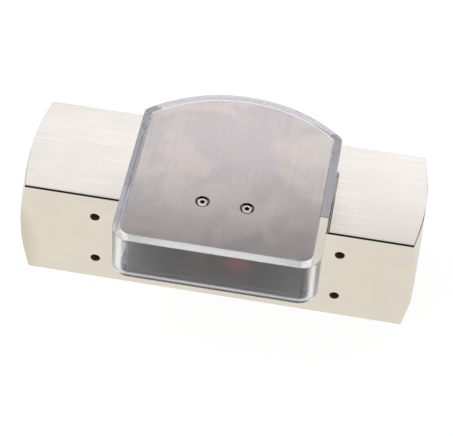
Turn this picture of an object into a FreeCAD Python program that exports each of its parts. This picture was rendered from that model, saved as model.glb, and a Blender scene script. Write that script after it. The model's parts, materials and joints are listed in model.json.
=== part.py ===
# Variable area flow meter: a square pipe body with a sprung piston in its bore, and on top of it
# a clear-walled indicator whose pointer is led through the wall by a magnet.
# Millimetres. X runs along the pipe from inlet to outlet, Y to the rear and Z up.
# The origin is the middle of the body's lower face.

import FreeCAD, Part
import math
import os

import Sketcher
from FreeCAD import Vector

SIZES = {
    # square bar with coned ends
    "side": 50.0,
    "body_length": 166.4,
    "ridge_break": 0.5,
    "end_cone_radius": 25.5,
    "end_cone_angle": 15.0,
    # stepped bore: root of the pipe thread, seat of the spiders, flow bore
    "thread_bore_radius": 16.62,
    "thread_depth": 20.0,
    "thread_lead": 1.2,
    "seat_radius": 14.2,
    "seat_depth": 7.0,
    "flow_bore_radius": 13.0,
    # tapped holes in the front face, to the root of their thread
    "front_hole_radius": 2.0,
    "front_hole_mouth_radius": 2.2,
    "front_hole_depth": 12.0,
    "front_hole_span": 102.6,
    "front_hole_pitch": 25.6,
    # sheets and plates on the upper side, beside the indicator
    "gasket_thickness": 0.9,
    "top_plate_thickness": 0.4,
    "top_plate_round": 0.2,
    "plate_gap": 0.5,
    "gasket_gap": 0.2,
    "plate_tip_half": 22.0,
    # indicator: clear wall, base and lid around the pointer's axis
    "pivot_x": 4.0,
    "pivot_front": 34.9,
    "window_width": 82.4,
    "window_front": 29.3,
    "window_arc_radius": 59.9,
    "window_corner_radius": 8.0,
    "window_rear_corner_radius": 3.0,
    "smallest_corner_radius": 0.8,
    "window_height": 21.3,
    "window_round": 0.7,
    "rim_width": 3.3,
    "fit_gap": 0.15,
    "base_thickness": 3.3,
    "lid_thickness": 2.4,
    "lid_drop": 0.1,
    "lid_break": 0.25,
    "seal_width": 0.6,
    "seal_thickness": 0.4,
    # countersunk screws that hold the base on the body
    "base_screw_span": 44.0,
    "base_screw_rear": 6.0,
    "base_screw_front": 17.0,
    "base_screw_tap_radius": 1.65,
    "base_screw_tap_depth": 7.0,
    "base_screw_hole_radius": 2.2,
    "base_screw_head_radius": 3.8,
    "base_screw_reach": 6.0,
    "countersink_clearance": 0.1,
    "screw_clearance": 0.05,
    # lid screws and their posts
    "lid_screw_span": 17.8,
    "lid_screw_setback": 2.8,
    "lid_screw_radius": 1.2,
    "lid_screw_reach": 7.0,
    "lid_screw_head_radius": 2.1,
    "lid_screw_head_height": 1.3,
    "lid_screw_head_round": 0.3,
    "lid_counterbore_radius": 2.9,
    "lid_counterbore_depth": 1.5,
    "lid_hole_radius": 1.45,
    "socket_core_radius": 0.85,
    "socket_lobe_radius": 0.3,
    "socket_depth": 0.9,
    "post_radius": 2.75,
    "post_tap_depth": 8.0,
    "spigot_radius": 1.5,
    "spigot_length": 3.1,
    # pointer and its bearing
    "pin_radius": 1.5,
    "pin_seat": 3.1,
    "pin_collar_radius": 3.2,
    "pin_collar_height": 1.5,
    "pin_top_gap": 0.4,
    "bush_clearance": 0.04,
    "end_play": 0.1,
    "bush_radius": 3.0,
    "bush_collar_radius": 4.6,
    "bush_height": 12.0,
    "clip_thickness": 0.6,
    "clip_radius": 3.0,
    "clip_groove_depth": 0.35,
    "clip_wrap_angle": 290.0,
    "rest_angle": 32.0,
    "arm_height": 2.9,
    "arm_thickness": 1.5,
    "arm_root_half": 4.4,
    "arm_tip_half": 1.0,
    "hub_radius": 5.6,
    "flag_height": 6.5,
    "flag_thickness": 0.8,
    "flag_gap": 0.6,
    "tail_neck_half": 2.0,
    "tail_neck_length": 15.0,
    "tail_half": 5.4,
    "tail_length": 23.8,
    "tail_corner": 1.6,
    "pointer_magnet_radius": 3.0,
    "pointer_magnet_height": 2.5,
    # curved scale that stands in a groove of the base
    "scale_wall_gap": 1.4,
    "scale_thickness": 1.0,
    "scale_height": 6.0,
    "scale_groove": 1.0,
    "scale_angle": 76.0,
    "scale_clearance": 0.05,
    "scale_groove_margin": 1.0,
    # piston and its inserts
    "travel": 46.0,
    "guide_clearance": 0.05,
    "guide_length": 5.0,
    "guide_relief": 0.5,
    "insert_radius": 11.4,
    "throat_radius": 9.4,
    "disc_thickness": 2.0,
    "orifice_clearance": 0.05,
    "orifice_land": 0.5,
    "piston_web": 4.0,
    "piston_magnet_length": 13.0,
    "retainer_thickness": 3.0,
    # metering cone, spiders and what holds them
    "cone_radius": 8.0,
    "cone_land": 1.0,
    "rod_radius": 4.0,
    "shoulder_radius": 4.6,
    "collar_radius": 9.8,
    "collar_thickness": 2.5,
    "stop_gap": 0.05,
    "stud_radius": 2.5,
    "stud_clearance": 0.05,
    "stud_margin": 0.7,
    "spider_thickness": 3.0,
    "spider_clearance": 0.05,
    "spider_hub_radius": 5.0,
    "spider_rim_radius": 11.6,
    "spider_opening_angle": 96.0,
    "nut_corner_radius": 4.6,
    "nut_height": 3.0,
    "ring_thickness": 1.2,
    "ring_slack": 0.1,
    "ring_groove_depth": 0.8,
    "ring_lip": 1.3,
    "ring_wrap_angle": 325.0,
    # return spring and its seat
    "spring_seat_thickness": 1.5,
    "spring_seat_gap": 0.4,
    "spring_wire_radius": 0.65,
}

SPIDER_OPENINGS = 3
SPRING_TURNS = 10
SOCKET_LOBES = 6
NUT_SIDES = 6
FULL_TURN = 360
SAME_PLACE = 1e-6
LEAST_CUT = 1e-3

# heights, stations and radii that follow from the sizes above
LAYOUT = {
    "half_side": "=sizes.side / 2",
    "half_length": "=sizes.body_length / 2",
    "ridge_inner": "=half_side - sizes.ridge_break",
    "cone_back": "=half_length - (sizes.side - sizes.end_cone_radius) * tan(sizes.end_cone_angle * 1deg)",
    "plate_low": "=half_side + sizes.gasket_thickness",
    "plate_top": "=plate_low + sizes.top_plate_thickness",
    "window_half": "=sizes.window_width / 2",
    "left_plate_tip": "=sizes.pivot_x - sizes.plate_tip_half",
    "right_plate_tip": "=sizes.pivot_x + sizes.plate_tip_half",
    "lead_radius": "=sizes.thread_bore_radius + sizes.thread_lead",
    "lead_end": "=half_length - sizes.thread_lead",
    "thread_end": "=half_length - sizes.thread_depth",
    "seat_face": "=thread_end - sizes.seat_depth",
    "ring_near": "=seat_face + sizes.spider_thickness",
    "ring_far": "=ring_near + sizes.ring_thickness",
    "ring_groove_far": "=ring_far + sizes.ring_slack",
    "ring_groove_radius": "=sizes.seat_radius + sizes.ring_groove_depth",
    "ring_outer_radius": "=ring_groove_radius - sizes.spider_clearance",
    "ring_inner_radius": "=sizes.seat_radius - sizes.ring_lip",
    "front_hole_half_span": "=sizes.front_hole_span / 2",
    "front_hole_half_pitch": "=sizes.front_hole_pitch / 2",
    "front_mouth_depth": "=sizes.front_hole_mouth_radius - sizes.front_hole_radius",
    "front_mouth_floor": "=half_side - front_mouth_depth",
    # indicator heights, first above the body's lower face and then above the indicator's own base
    "floor_level": "=sizes.side",
    "base_level": "=floor_level + sizes.base_thickness",
    "lid_under": "=sizes.window_height - sizes.lid_drop - sizes.lid_thickness",
    "lid_level": "=floor_level + lid_under",
    "post_height": "=lid_under - sizes.base_thickness",
    "post_tap_floor": "=post_height - sizes.post_tap_depth",
    "upper_seal_level": "=lid_level - sizes.seal_thickness",
    "pivot_y": "=-sizes.pivot_front",
    "base_screw_half": "=sizes.base_screw_span / 2",
    "base_screw_left": "=sizes.pivot_x - base_screw_half",
    "base_screw_right": "=sizes.pivot_x + base_screw_half",
    "base_screw_rear_arm": "=sizes.base_screw_rear + sizes.pivot_front",
    "base_screw_front_arm": "=sizes.pivot_front - sizes.base_screw_front",
    "base_screw_radius": "=sizes.base_screw_tap_radius - sizes.screw_clearance",
    "base_screw_neck": "=-(sizes.base_screw_head_radius - base_screw_radius)",
    "base_screw_end": "=-(sizes.base_thickness + sizes.base_screw_reach)",
    "countersink_radius": "=sizes.base_screw_head_radius + sizes.countersink_clearance",
    "countersink_depth": "=countersink_radius - sizes.base_screw_hole_radius",
    "countersink_floor": "=sizes.base_thickness - countersink_depth",
    "lid_screw_half": "=sizes.lid_screw_span / 2",
    "lid_screw_y": "=-sizes.lid_screw_setback",
    "lid_screw_left": "=sizes.pivot_x - lid_screw_half",
    "lid_screw_right": "=sizes.pivot_x + lid_screw_half",
    "lid_screw_row": "=pivot_y - sizes.lid_screw_setback",
    "lid_screw_level": "=lid_level + sizes.lid_thickness - sizes.lid_counterbore_depth",
    "lid_screw_end": "=-(sizes.lid_thickness - sizes.lid_counterbore_depth + sizes.lid_screw_reach)",
    "lid_screw_head_flat": "=sizes.lid_screw_head_radius - sizes.lid_screw_head_round",
    "lid_screw_head_side": "=sizes.lid_screw_head_height - sizes.lid_screw_head_round",
    "post_tap_radius": "=sizes.lid_screw_radius + sizes.screw_clearance",
    # pointer bearing above the base, and the scale inside the round wall that the pointer stops short of
    "pin_top": "=post_height - sizes.pin_top_gap",
    "bush_bore": "=sizes.pin_radius + sizes.bush_clearance",
    "bush_low": "=sizes.pin_collar_height + sizes.end_play",
    "bush_top": "=bush_low + sizes.bush_height",
    "clip_low": "=bush_top + sizes.end_play",
    "clip_high": "=clip_low + sizes.clip_thickness",
    "clip_bore": "=sizes.pin_radius - sizes.clip_groove_depth",
    "scale_outer": "=sizes.window_arc_radius - sizes.rim_width - sizes.scale_wall_gap",
    "scale_radius": "=scale_outer - sizes.scale_thickness",
    "flag_outer": "=scale_radius - sizes.flag_gap",
    "flag_inner": "=flag_outer - sizes.flag_thickness",
    "tail_corner_half": "=sizes.tail_half - sizes.tail_corner",
    "tail_corner_length": "=sizes.tail_length - sizes.tail_corner",
    "pointer_magnet_low": "=sizes.arm_height - sizes.pointer_magnet_height",
    "pointer_magnet_arm": "=2 * sizes.pivot_front / (1 + cos(sizes.rest_angle * 1deg))",
    "scale_groove_inner": "=scale_radius - sizes.scale_clearance",
    "scale_groove_outer": "=scale_outer + sizes.scale_clearance",
    "scale_groove_floor": "=sizes.base_thickness - sizes.scale_groove",
    "scale_groove_angle": "=sizes.scale_angle + sizes.scale_groove_margin",
    # stations along the pipe
    "magnet_middle": "=sizes.pivot_x - sizes.travel / 2",
    "web_end": "=magnet_middle - sizes.piston_magnet_length / 2",
    "disc_end": "=web_end - sizes.piston_web",
    "piston_front": "=disc_end - sizes.disc_thickness",
    "edge_end": "=piston_front + sizes.orifice_land",
    "magnet_end": "=web_end + sizes.piston_magnet_length",
    "piston_end": "=magnet_end + sizes.retainer_thickness",
    "relief_start": "=piston_front + sizes.guide_length",
    "relief_end": "=piston_end - sizes.guide_length",
    "guide_radius": "=sizes.flow_bore_radius - sizes.guide_clearance",
    "relief_radius": "=guide_radius - sizes.guide_relief",
    "orifice_radius": "=sizes.cone_radius + sizes.orifice_clearance",
    "collar_end": "=piston_front - sizes.stop_gap",
    "collar_start": "=collar_end - sizes.collar_thickness",
    "land_end": "=disc_end + sizes.cone_land",
    "cone_tail": "=land_end + sizes.travel",
    "stud_end": "=ring_near + sizes.nut_height + sizes.stud_margin",
    "spider_bore": "=sizes.stud_radius + sizes.stud_clearance",
    "spider_radius": "=sizes.seat_radius - sizes.spider_clearance",
    "nut_far": "=ring_near + sizes.nut_height",
    "spring_seat_face": "=seat_face - sizes.spring_seat_thickness",
    "spring_seat_radius": "=sizes.flow_bore_radius - sizes.spring_seat_gap",
    "spring_radius": "=(sizes.throat_radius + sizes.insert_radius) / 2",
    "spring_start": "=piston_end + sizes.spring_wire_radius",
    "coil_far": "=spring_start + sizes.spring_wire_radius",
    "coil_inner": "=spring_radius - sizes.spring_wire_radius",
    "coil_outer": "=spring_radius + sizes.spring_wire_radius",
    "wire_half_flat": "=sizes.spring_wire_radius * tan(22.5deg)",
    "flat_near": "=spring_start - wire_half_flat",
    "flat_far": "=spring_start + wire_half_flat",
    "flat_inner": "=spring_radius - wire_half_flat",
    "flat_outer": "=spring_radius + wire_half_flat",
    "spring_height": "=spring_seat_face - piston_end - 2 * sizes.spring_wire_radius",
}

# outlines of the indicator, each drawn inward from the clear wall's outer face
OUTLINE_INSETS = {
    "plate_clearing": "(-sizes.plate_gap)",
    "gasket_clearing": "(-sizes.gasket_gap)",
    "outer": "0",
    "hollow": "sizes.rim_width",
    "plate": "(sizes.rim_width + sizes.fit_gap)",
    "seal": "(sizes.rim_width + sizes.fit_gap + sizes.seal_width)",
}
for outline_name, inset in OUTLINE_INSETS.items():
    LAYOUT[f"{outline_name}_half"] = f"=window_half - {inset}"
    LAYOUT[f"{outline_name}_front"] = f"=-(sizes.window_front - {inset})"
    LAYOUT[f"{outline_name}_arc"] = f"=sizes.window_arc_radius - {inset}"
    for corner in ("corner", "rear_corner"):
        wanted = f"sizes.window_{corner}_radius - {inset}"
        LAYOUT[f"{outline_name}_{corner}"] = f"=max({wanted}; sizes.smallest_corner_radius)"

doc = FreeCAD.newDocument("flow_meter")


def fill_sheet(name, cells):
    """Add a sheet with one aliased cell for each entry."""
    sheet = doc.addObject("Spreadsheet::Sheet", name)
    for row, (alias, content) in enumerate(cells.items(), start=1):
        sheet.set(f"A{row}", alias)
        sheet.set(f"B{row}", str(content))
        sheet.setAlias(f"B{row}", alias)
    doc.recompute()
    return sheet


sizes = fill_sheet("sizes", SIZES)
layout = fill_sheet("layout", LAYOUT)
nodes = []


def named(key):
    """Expression text and present value of a named length. A leading minus turns its sign."""
    if key == "0":
        return None, 0.0
    name = key.lstrip("-")
    sheet = sizes if name in SIZES else layout
    text = f"{sheet.Name}.{name}"
    value = float(sheet.get(name))
    if key.startswith("-"):
        return f"-{text}", -value
    return text, value


def tie(item, prop, key):
    """Bind a property of an object to a named length."""
    item.setExpression(prop, named(key)[0])


def new_body(label, x="0", y="0", z="0"):
    """Empty body whose origin stands at a named place."""
    body = doc.addObject("PartDesign::Body", label)
    body.Label = label
    for axis, key in zip("xyz", (x, y, z)):
        if key != "0":
            tie(body, f"Placement.Base.{axis}", key)
    return body


def keep(item):
    """Count a finished sub-part among those that are written out."""
    nodes.append(item)
    return item


def new_group(label, members):
    """One sub-part made of like, separate pieces."""
    group = doc.addObject("Part::Compound", label)
    group.Label = label
    group.Links = members
    return keep(group)


def new_sketch(body, plane, across="0", along="0", lift="0"):
    """Sketch on one of the body's origin planes, shifted in the plane and raised along its normal."""
    sketch = body.newObject("Sketcher::SketchObject", f"{body.Name}_sketch")
    support = next(f for f in body.Origin.OriginFeatures if f.Role == plane)
    sketch.AttachmentSupport = [(support, "")]
    sketch.MapMode = "FlatFace"
    for axis, key in zip("xyz", (across, along, lift)):
        if key != "0":
            tie(sketch, f"AttachmentOffset.Base.{axis}", key)
    return sketch


def set_datum(sketch, constraint, key):
    """Add a dimension to a sketch and bind it to a named length."""
    index = sketch.addConstraint(constraint)
    if key != "0":
        tie(sketch, f"Constraints[{index}]", key)


def fix_point(sketch, element, point, across, up):
    """Hold a point of a sketch at named distances from the sketch's origin."""
    for kind, key in (("DistanceX", across), ("DistanceY", up)):
        constraint = Sketcher.Constraint(kind, -1, 1, element, point, named(key)[1])
        set_datum(sketch, constraint, key)


def draw_polygon(sketch, corners):
    """Closed run of straight lines through corners given by named distances."""
    spots = [Vector(named(across)[1], named(up)[1], 0) for across, up in corners]
    first = sketch.GeometryCount
    count = len(spots)
    for i in range(count):
        sketch.addGeometry(Part.LineSegment(spots[i], spots[(i + 1) % count]))
    for i in range(count):
        sketch.addConstraint(Sketcher.Constraint("Coincident", first + i, 2, first + (i + 1) % count, 1))
    for i, (across, up) in enumerate(corners):
        fix_point(sketch, first + i, 1, across, up)


def draw_circle(sketch, across, up, radius):
    """Circle of a named radius about a named point."""
    middle = Vector(named(across)[1], named(up)[1], 0)
    element = sketch.addGeometry(Part.Circle(middle, Vector(0, 0, 1), named(radius)[1]))
    fix_point(sketch, element, 3, across, up)
    set_datum(sketch, Sketcher.Constraint("Radius", element, named(radius)[1]), radius)


def draw_window(sketch, outline):
    """Outline of the indicator: straight front and sides, rounded corners, rear arc about the pivot."""
    half = named(f"{outline}_half")[1]
    front = named(f"{outline}_front")[1]
    arc = named(f"{outline}_arc")[1]
    corner = named(f"{outline}_corner")[1]
    rear = named(f"{outline}_rear_corner")[1]
    rear_y = math.sqrt((arc - rear) ** 2 - (half - rear) ** 2)
    meet = math.atan2(rear_y, half - rear)
    quarter = math.pi / 2

    def line(x0, y0, x1, y1):
        return Part.LineSegment(Vector(x0, y0, 0), Vector(x1, y1, 0))

    def bow(x, y, radius, start, stop):
        return Part.ArcOfCircle(Part.Circle(Vector(x, y, 0), Vector(0, 0, 1), radius), start, stop)

    chain = [
        line(corner - half, front, half - corner, front),
        bow(half - corner, front + corner, corner, -quarter, 0),
        line(half, front + corner, half, rear_y),
        bow(half - rear, rear_y, rear, 0, meet),
        bow(0, 0, arc, meet, math.pi - meet),
        bow(rear - half, rear_y, rear, math.pi - meet, math.pi),
        line(-half, rear_y, -half, front + corner),
        bow(corner - half, front + corner, corner, math.pi, 3 * quarter),
    ]
    first = sketch.GeometryCount
    front_side, front_right, right_side, rear_right, rear_side, rear_left, left_side, front_left = range(
        first, first + len(chain)
    )
    sketch.addGeometry(chain)
    for i in range(len(chain)):
        following = first + (i + 1) % len(chain)
        sketch.addConstraint(Sketcher.Constraint("Tangent", first + i, 2, following, 1))
    sketch.addConstraint(Sketcher.Constraint("Coincident", rear_side, 3, -1, 1))
    sketch.addConstraint(Sketcher.Constraint("Horizontal", front_side))
    sketch.addConstraint(Sketcher.Constraint("Vertical", right_side))
    sketch.addConstraint(Sketcher.Constraint("Vertical", left_side))
    sketch.addConstraint(Sketcher.Constraint("Equal", front_right, front_left))
    sketch.addConstraint(Sketcher.Constraint("Equal", rear_right, rear_left))
    set_datum(sketch, Sketcher.Constraint("Radius", front_right, corner), f"{outline}_corner")
    set_datum(sketch, Sketcher.Constraint("Radius", rear_right, rear), f"{outline}_rear_corner")
    set_datum(sketch, Sketcher.Constraint("Radius", rear_side, arc), f"{outline}_arc")
    set_datum(sketch, Sketcher.Constraint("DistanceX", -1, 1, right_side, 1, half), f"{outline}_half")
    set_datum(sketch, Sketcher.Constraint("DistanceX", -1, 1, left_side, 1, -half), f"-{outline}_half")
    set_datum(sketch, Sketcher.Constraint("DistanceY", -1, 1, front_side, 1, front), f"{outline}_front")


def add_pad(body, sketch, length, both_ways=False):
    """Raise a sketch into a solid."""
    pad = body.newObject("PartDesign::Pad", f"{body.Name}_pad")
    pad.Profile = sketch
    tie(pad, "Length", length)
    if both_ways:
        pad.SideType = "Symmetric"
    return pad


def add_pocket(body, sketch, depth=None, upward=False):
    """Cut a sketch into the solid, to a named depth or right through."""
    pocket = body.newObject("PartDesign::Pocket", f"{body.Name}_pocket")
    pocket.Profile = sketch
    pocket.Reversed = upward
    if depth is None:
        pocket.Type = "ThroughAll"
    else:
        tie(pocket, "Length", depth)
    return pocket


def add_turned(body, kind, sketch, axis, angle=None):
    """Turn a sketch about one of its own axes, as a solid (Revolution) or as a cut (Groove)."""
    turned = body.newObject(f"PartDesign::{kind}", f"{body.Name}_{kind.lower()}")
    turned.Profile = sketch
    turned.ReferenceAxis = (sketch, [axis])
    turned.Angle = FULL_TURN
    if angle is not None:
        turned.Midplane = True
        tie(turned, "Angle", angle)
    return turned


def round_edges(body, feature, kind, size, test):
    """Fillet or chamfer the edges of a feature whose ends all pass a test on their place in the body."""
    doc.recompute()
    edges = []
    for number, edge in enumerate(feature.Shape.Edges, start=1):
        if all(test(vertex.Point) for vertex in edge.Vertexes):
            edges.append(f"Edge{number}")
    dressed = body.newObject(f"PartDesign::{kind}", f"{body.Name}_{kind.lower()}")
    dressed.Base = (feature, edges)
    tie(dressed, "Radius" if kind == "Fillet" else "Size", size)
    return dressed


def is_near(value, key):
    """Whether a coordinate lies at a named length."""
    return abs(value - named(key)[1]) < SAME_PLACE


def pipe_body(label):
    """Empty body whose origin is on the pipe's axis, above the middle of the lower face."""
    return new_body(label, z="half_side")


def turned_on_pipe(label, corners, angle=None):
    """Piece turned about the pipe's axis from corners given as station and radius."""
    body = pipe_body(label)
    sketch = new_sketch(body, "XZ_Plane")
    draw_polygon(sketch, corners)
    add_turned(body, "Revolution", sketch, "H_Axis", angle)
    return body


def turned_upright(label, place, corners, angle=None):
    """Piece turned about a vertical axis from corners given as radius and height."""
    body = new_body(label, *place)
    sketch = new_sketch(body, "XZ_Plane")
    draw_polygon(sketch, corners)
    add_turned(body, "Revolution", sketch, "V_Axis", angle)
    return body


def cut_end_cones(body):
    """Turn both ends of a bar-shaped piece to the shallow cones of the body's ends."""
    sketch = new_sketch(body, "XZ_Plane")
    for side in ("", "-"):
        end = f"{side}half_length"
        draw_polygon(sketch, [(end, "end_cone_radius"), (end, "side"), (f"{side}cone_back", "side")])
    add_turned(body, "Groove", sketch, "H_Axis")


def cut_cone(body, plane, place, depth):
    """Cone cut along a plane's normal from a named place. The caller gives its two radii."""
    cone = body.newObject("PartDesign::SubtractiveCone", f"{body.Name}_cone")
    tie(cone, "Height", depth)
    support = next(f for f in body.Origin.OriginFeatures if f.Role == plane)
    cone.AttachmentSupport = [(support, "")]
    cone.MapMode = "FlatFace"
    for axis, key in zip("xyz", place):
        tie(cone, f"AttachmentOffset.Base.{axis}", key)
    return cone


def front_hole_places():
    """Places of the tapped holes in the front face, seen from the front."""
    return [
        (across, up)
        for across in ("-front_hole_half_span", "front_hole_half_span")
        for up in ("-front_hole_half_pitch", "front_hole_half_pitch")
    ]


def base_screw_places():
    """Places of the screws that hold the indicator on the body, seen from above."""
    return [
        (across, along)
        for across in ("base_screw_left", "base_screw_right")
        for along in ("base_screw_rear", "-base_screw_front")
    ]


def mirrored(corners):
    """Corners of a profile on the other half of the pipe, in the reverse order."""
    return [(f"-{station}", radius) for station, radius in reversed(corners)]


def make_body():
    """Square bar with a stepped bore, coned ends and tapped holes in its front and upper faces."""
    body = keep(pipe_body("body"))
    section = new_sketch(body, "YZ_Plane")
    draw_polygon(section, [
        ("-ridge_inner", "-half_side"), ("ridge_inner", "-half_side"), ("half_side", "-ridge_inner"),
        ("half_side", "half_side"), ("-half_side", "half_side"), ("-half_side", "-ridge_inner"),
    ])
    add_pad(body, section, "body_length", both_ways=True)
    cut_end_cones(body)
    outlet_half = [
        ("seat_face", "flow_bore_radius"), ("seat_face", "seat_radius"),
        ("ring_near", "seat_radius"), ("ring_near", "ring_groove_radius"),
        ("ring_groove_far", "ring_groove_radius"), ("ring_groove_far", "seat_radius"),
        ("thread_end", "seat_radius"), ("thread_end", "thread_bore_radius"),
        ("lead_end", "thread_bore_radius"), ("half_length", "lead_radius"), ("half_length", "0"),
    ]
    bore = new_sketch(body, "XZ_Plane")
    draw_polygon(bore, outlet_half + mirrored(outlet_half))
    add_turned(body, "Groove", bore, "H_Axis")
    front_holes = new_sketch(body, "XZ_Plane", lift="half_side")
    for across, up in front_hole_places():
        draw_circle(front_holes, across, up, "front_hole_radius")
    add_pocket(body, front_holes, "front_hole_depth")
    for across, up in front_hole_places():
        mouth = cut_cone(body, "XZ_Plane", (across, up, "front_mouth_floor"), "front_mouth_depth")
        tie(mouth, "Radius1", "front_hole_radius")
        tie(mouth, "Radius2", "front_hole_mouth_radius")
    top_holes = new_sketch(body, "XY_Plane", lift="half_side")
    for across, along in base_screw_places():
        draw_circle(top_holes, across, along, "base_screw_tap_radius")
    add_pocket(body, top_holes, "base_screw_tap_depth")


def make_sheet(label, low, high, level, thickness, opening, rounding=None):
    """Flat sheet on the upper side between two stations, cut to the end cones and round the indicator."""
    sheet = pipe_body(label)
    outline = new_sketch(sheet, "XY_Plane", lift=level)
    draw_polygon(outline, [
        (low, "-half_side"), (high, "-half_side"), (high, "half_side"), (low, "half_side"),
    ])
    slab = add_pad(sheet, outline, thickness)
    if rounding is not None:
        round_edges(
            sheet, slab, "Fillet", rounding,
            lambda point: is_near(point.z, "plate_top") and is_near(abs(point.y), "half_side"),
        )
    cut_end_cones(sheet)
    clearing = new_sketch(sheet, "XY_Plane", "pivot_x", "pivot_y", "plate_top")
    draw_window(clearing, opening)
    add_pocket(sheet, clearing)
    return sheet


def make_top_sheets():
    """Black gasket in two pieces beside the indicator, and the thin plate on each of them."""
    left = ("-half_length", "left_plate_tip")
    right = ("right_plate_tip", "half_length")
    pieces = [
        make_sheet("gasket_piece", *span, "half_side", "gasket_thickness", "gasket_clearing")
        for span in (left, right)
    ]
    new_group("top_gasket", pieces)
    for label, span in (("left_top_plate", left), ("right_top_plate", right)):
        keep(make_sheet(
            label, *span, "plate_low", "top_plate_thickness", "plate_clearing", "top_plate_round",
        ))


def make_indicator_case():
    """Base, clear wall, seals and lid of the indicator, about the pointer's axis."""
    base = keep(new_body("indicator_base", "pivot_x", "pivot_y", "floor_level"))
    outline = new_sketch(base, "XY_Plane")
    draw_window(outline, "plate")
    draw_circle(outline, "0", "0", "pin_radius")
    for across in ("-lid_screw_half", "lid_screw_half"):
        draw_circle(outline, across, "lid_screw_y", "spigot_radius")
    for across in ("-base_screw_half", "base_screw_half"):
        for along in ("base_screw_rear_arm", "base_screw_front_arm"):
            draw_circle(outline, across, along, "base_screw_hole_radius")
    add_pad(base, outline, "base_thickness")
    groove = new_sketch(base, "YZ_Plane")
    draw_polygon(groove, [
        ("scale_groove_inner", "scale_groove_floor"), ("scale_groove_outer", "scale_groove_floor"),
        ("scale_groove_outer", "base_thickness"), ("scale_groove_inner", "base_thickness"),
    ])
    add_turned(base, "Groove", groove, "V_Axis", "scale_groove_angle")
    for across in ("-base_screw_half", "base_screw_half"):
        for along in ("base_screw_rear_arm", "base_screw_front_arm"):
            head_seat = cut_cone(base, "XY_Plane", (across, along, "countersink_floor"), "countersink_depth")
            tie(head_seat, "Radius1", "base_screw_hole_radius")
            tie(head_seat, "Radius2", "countersink_radius")

    ring = keep(new_body("window_ring", "pivot_x", "pivot_y", "floor_level"))
    outside = new_sketch(ring, "XY_Plane")
    draw_window(outside, "outer")
    wall = add_pad(ring, outside, "window_height")
    for level in ("window_height", "0"):
        wall = round_edges(ring, wall, "Fillet", "window_round", lambda point: is_near(point.z, level))
    hollow = new_sketch(ring, "XY_Plane", lift="window_height")
    draw_window(hollow, "hollow")
    add_pocket(ring, hollow)

    for label, level in (("lower_seal", "base_level"), ("upper_seal", "upper_seal_level")):
        seal = keep(new_body(label, "pivot_x", "pivot_y", level))
        band = new_sketch(seal, "XY_Plane")
        draw_window(band, "plate")
        draw_window(band, "seal")
        add_pad(seal, band, "seal_thickness")

    lid = keep(new_body("lid_plate", "pivot_x", "pivot_y", "lid_level"))
    face = new_sketch(lid, "XY_Plane")
    draw_window(face, "plate")
    for across in ("-lid_screw_half", "lid_screw_half"):
        draw_circle(face, across, "lid_screw_y", "lid_hole_radius")
    slab = add_pad(lid, face, "lid_thickness")
    round_edges(
        lid, slab, "Chamfer", "lid_break",
        lambda point: is_near(point.z, "lid_thickness") and point.Length > named("lid_screw_span")[1],
    )
    recess = new_sketch(lid, "XY_Plane", lift="lid_thickness")
    for across in ("-lid_screw_half", "lid_screw_half"):
        draw_circle(recess, across, "lid_screw_y", "lid_counterbore_radius")
    add_pocket(lid, recess, "lid_counterbore_depth")


def make_indicator_fasteners():
    """Countersunk base screws, lid posts and the six-lobe lid screws."""
    screws = []
    for across, along in base_screw_places():
        screws.append(turned_upright("base_screw", (across, along, "base_level"), [
            ("0", "base_screw_end"), ("base_screw_radius", "base_screw_end"),
            ("base_screw_radius", "base_screw_neck"), ("base_screw_head_radius", "0"), ("0", "0"),
        ]))
    new_group("base_screws", screws)

    posts = []
    lid_screws = []
    for across in ("lid_screw_left", "lid_screw_right"):
        posts.append(turned_upright("lid_post", (across, "lid_screw_row", "base_level"), [
            ("0", "-spigot_length"), ("spigot_radius", "-spigot_length"), ("spigot_radius", "0"),
            ("post_radius", "0"), ("post_radius", "post_height"), ("post_tap_radius", "post_height"),
            ("post_tap_radius", "post_tap_floor"), ("0", "post_tap_floor"),
        ]))
        screw = turned_upright("lid_screw", (across, "lid_screw_row", "lid_screw_level"), [
            ("0", "lid_screw_end"), ("lid_screw_radius", "lid_screw_end"), ("lid_screw_radius", "0"),
            ("lid_screw_head_radius", "0"), ("lid_screw_head_radius", "lid_screw_head_side"),
            ("lid_screw_head_flat", "lid_screw_head_height"), ("0", "lid_screw_head_height"),
        ])
        cut_six_lobe_socket(screw)
        lid_screws.append(screw)
    new_group("lid_posts", posts)
    new_group("lid_screws", lid_screws)


def cut_six_lobe_socket(screw):
    """Star-shaped driver socket: a round core with lobes patterned about it."""
    core = new_sketch(screw, "XY_Plane", lift="lid_screw_head_height")
    draw_circle(core, "0", "0", "socket_core_radius")
    add_pocket(screw, core, "socket_depth")
    lobe = new_sketch(screw, "XY_Plane", lift="lid_screw_head_height")
    draw_circle(lobe, "0", "socket_core_radius", "socket_lobe_radius")
    first_lobe = add_pocket(screw, lobe, "socket_depth")
    add_polar_pattern(screw, first_lobe, lobe, "N_Axis", SOCKET_LOBES)


def add_polar_pattern(body, feature, sketch, axis, count):
    """Repeat a feature evenly round one of its sketch's axes."""
    doc.recompute()
    pattern = body.newObject("PartDesign::PolarPattern", f"{body.Name}_pattern")
    pattern.Originals = [feature]
    pattern.Axis = (sketch, [axis])
    pattern.Angle = FULL_TURN
    pattern.Occurrences = count
    body.Tip = pattern


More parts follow.
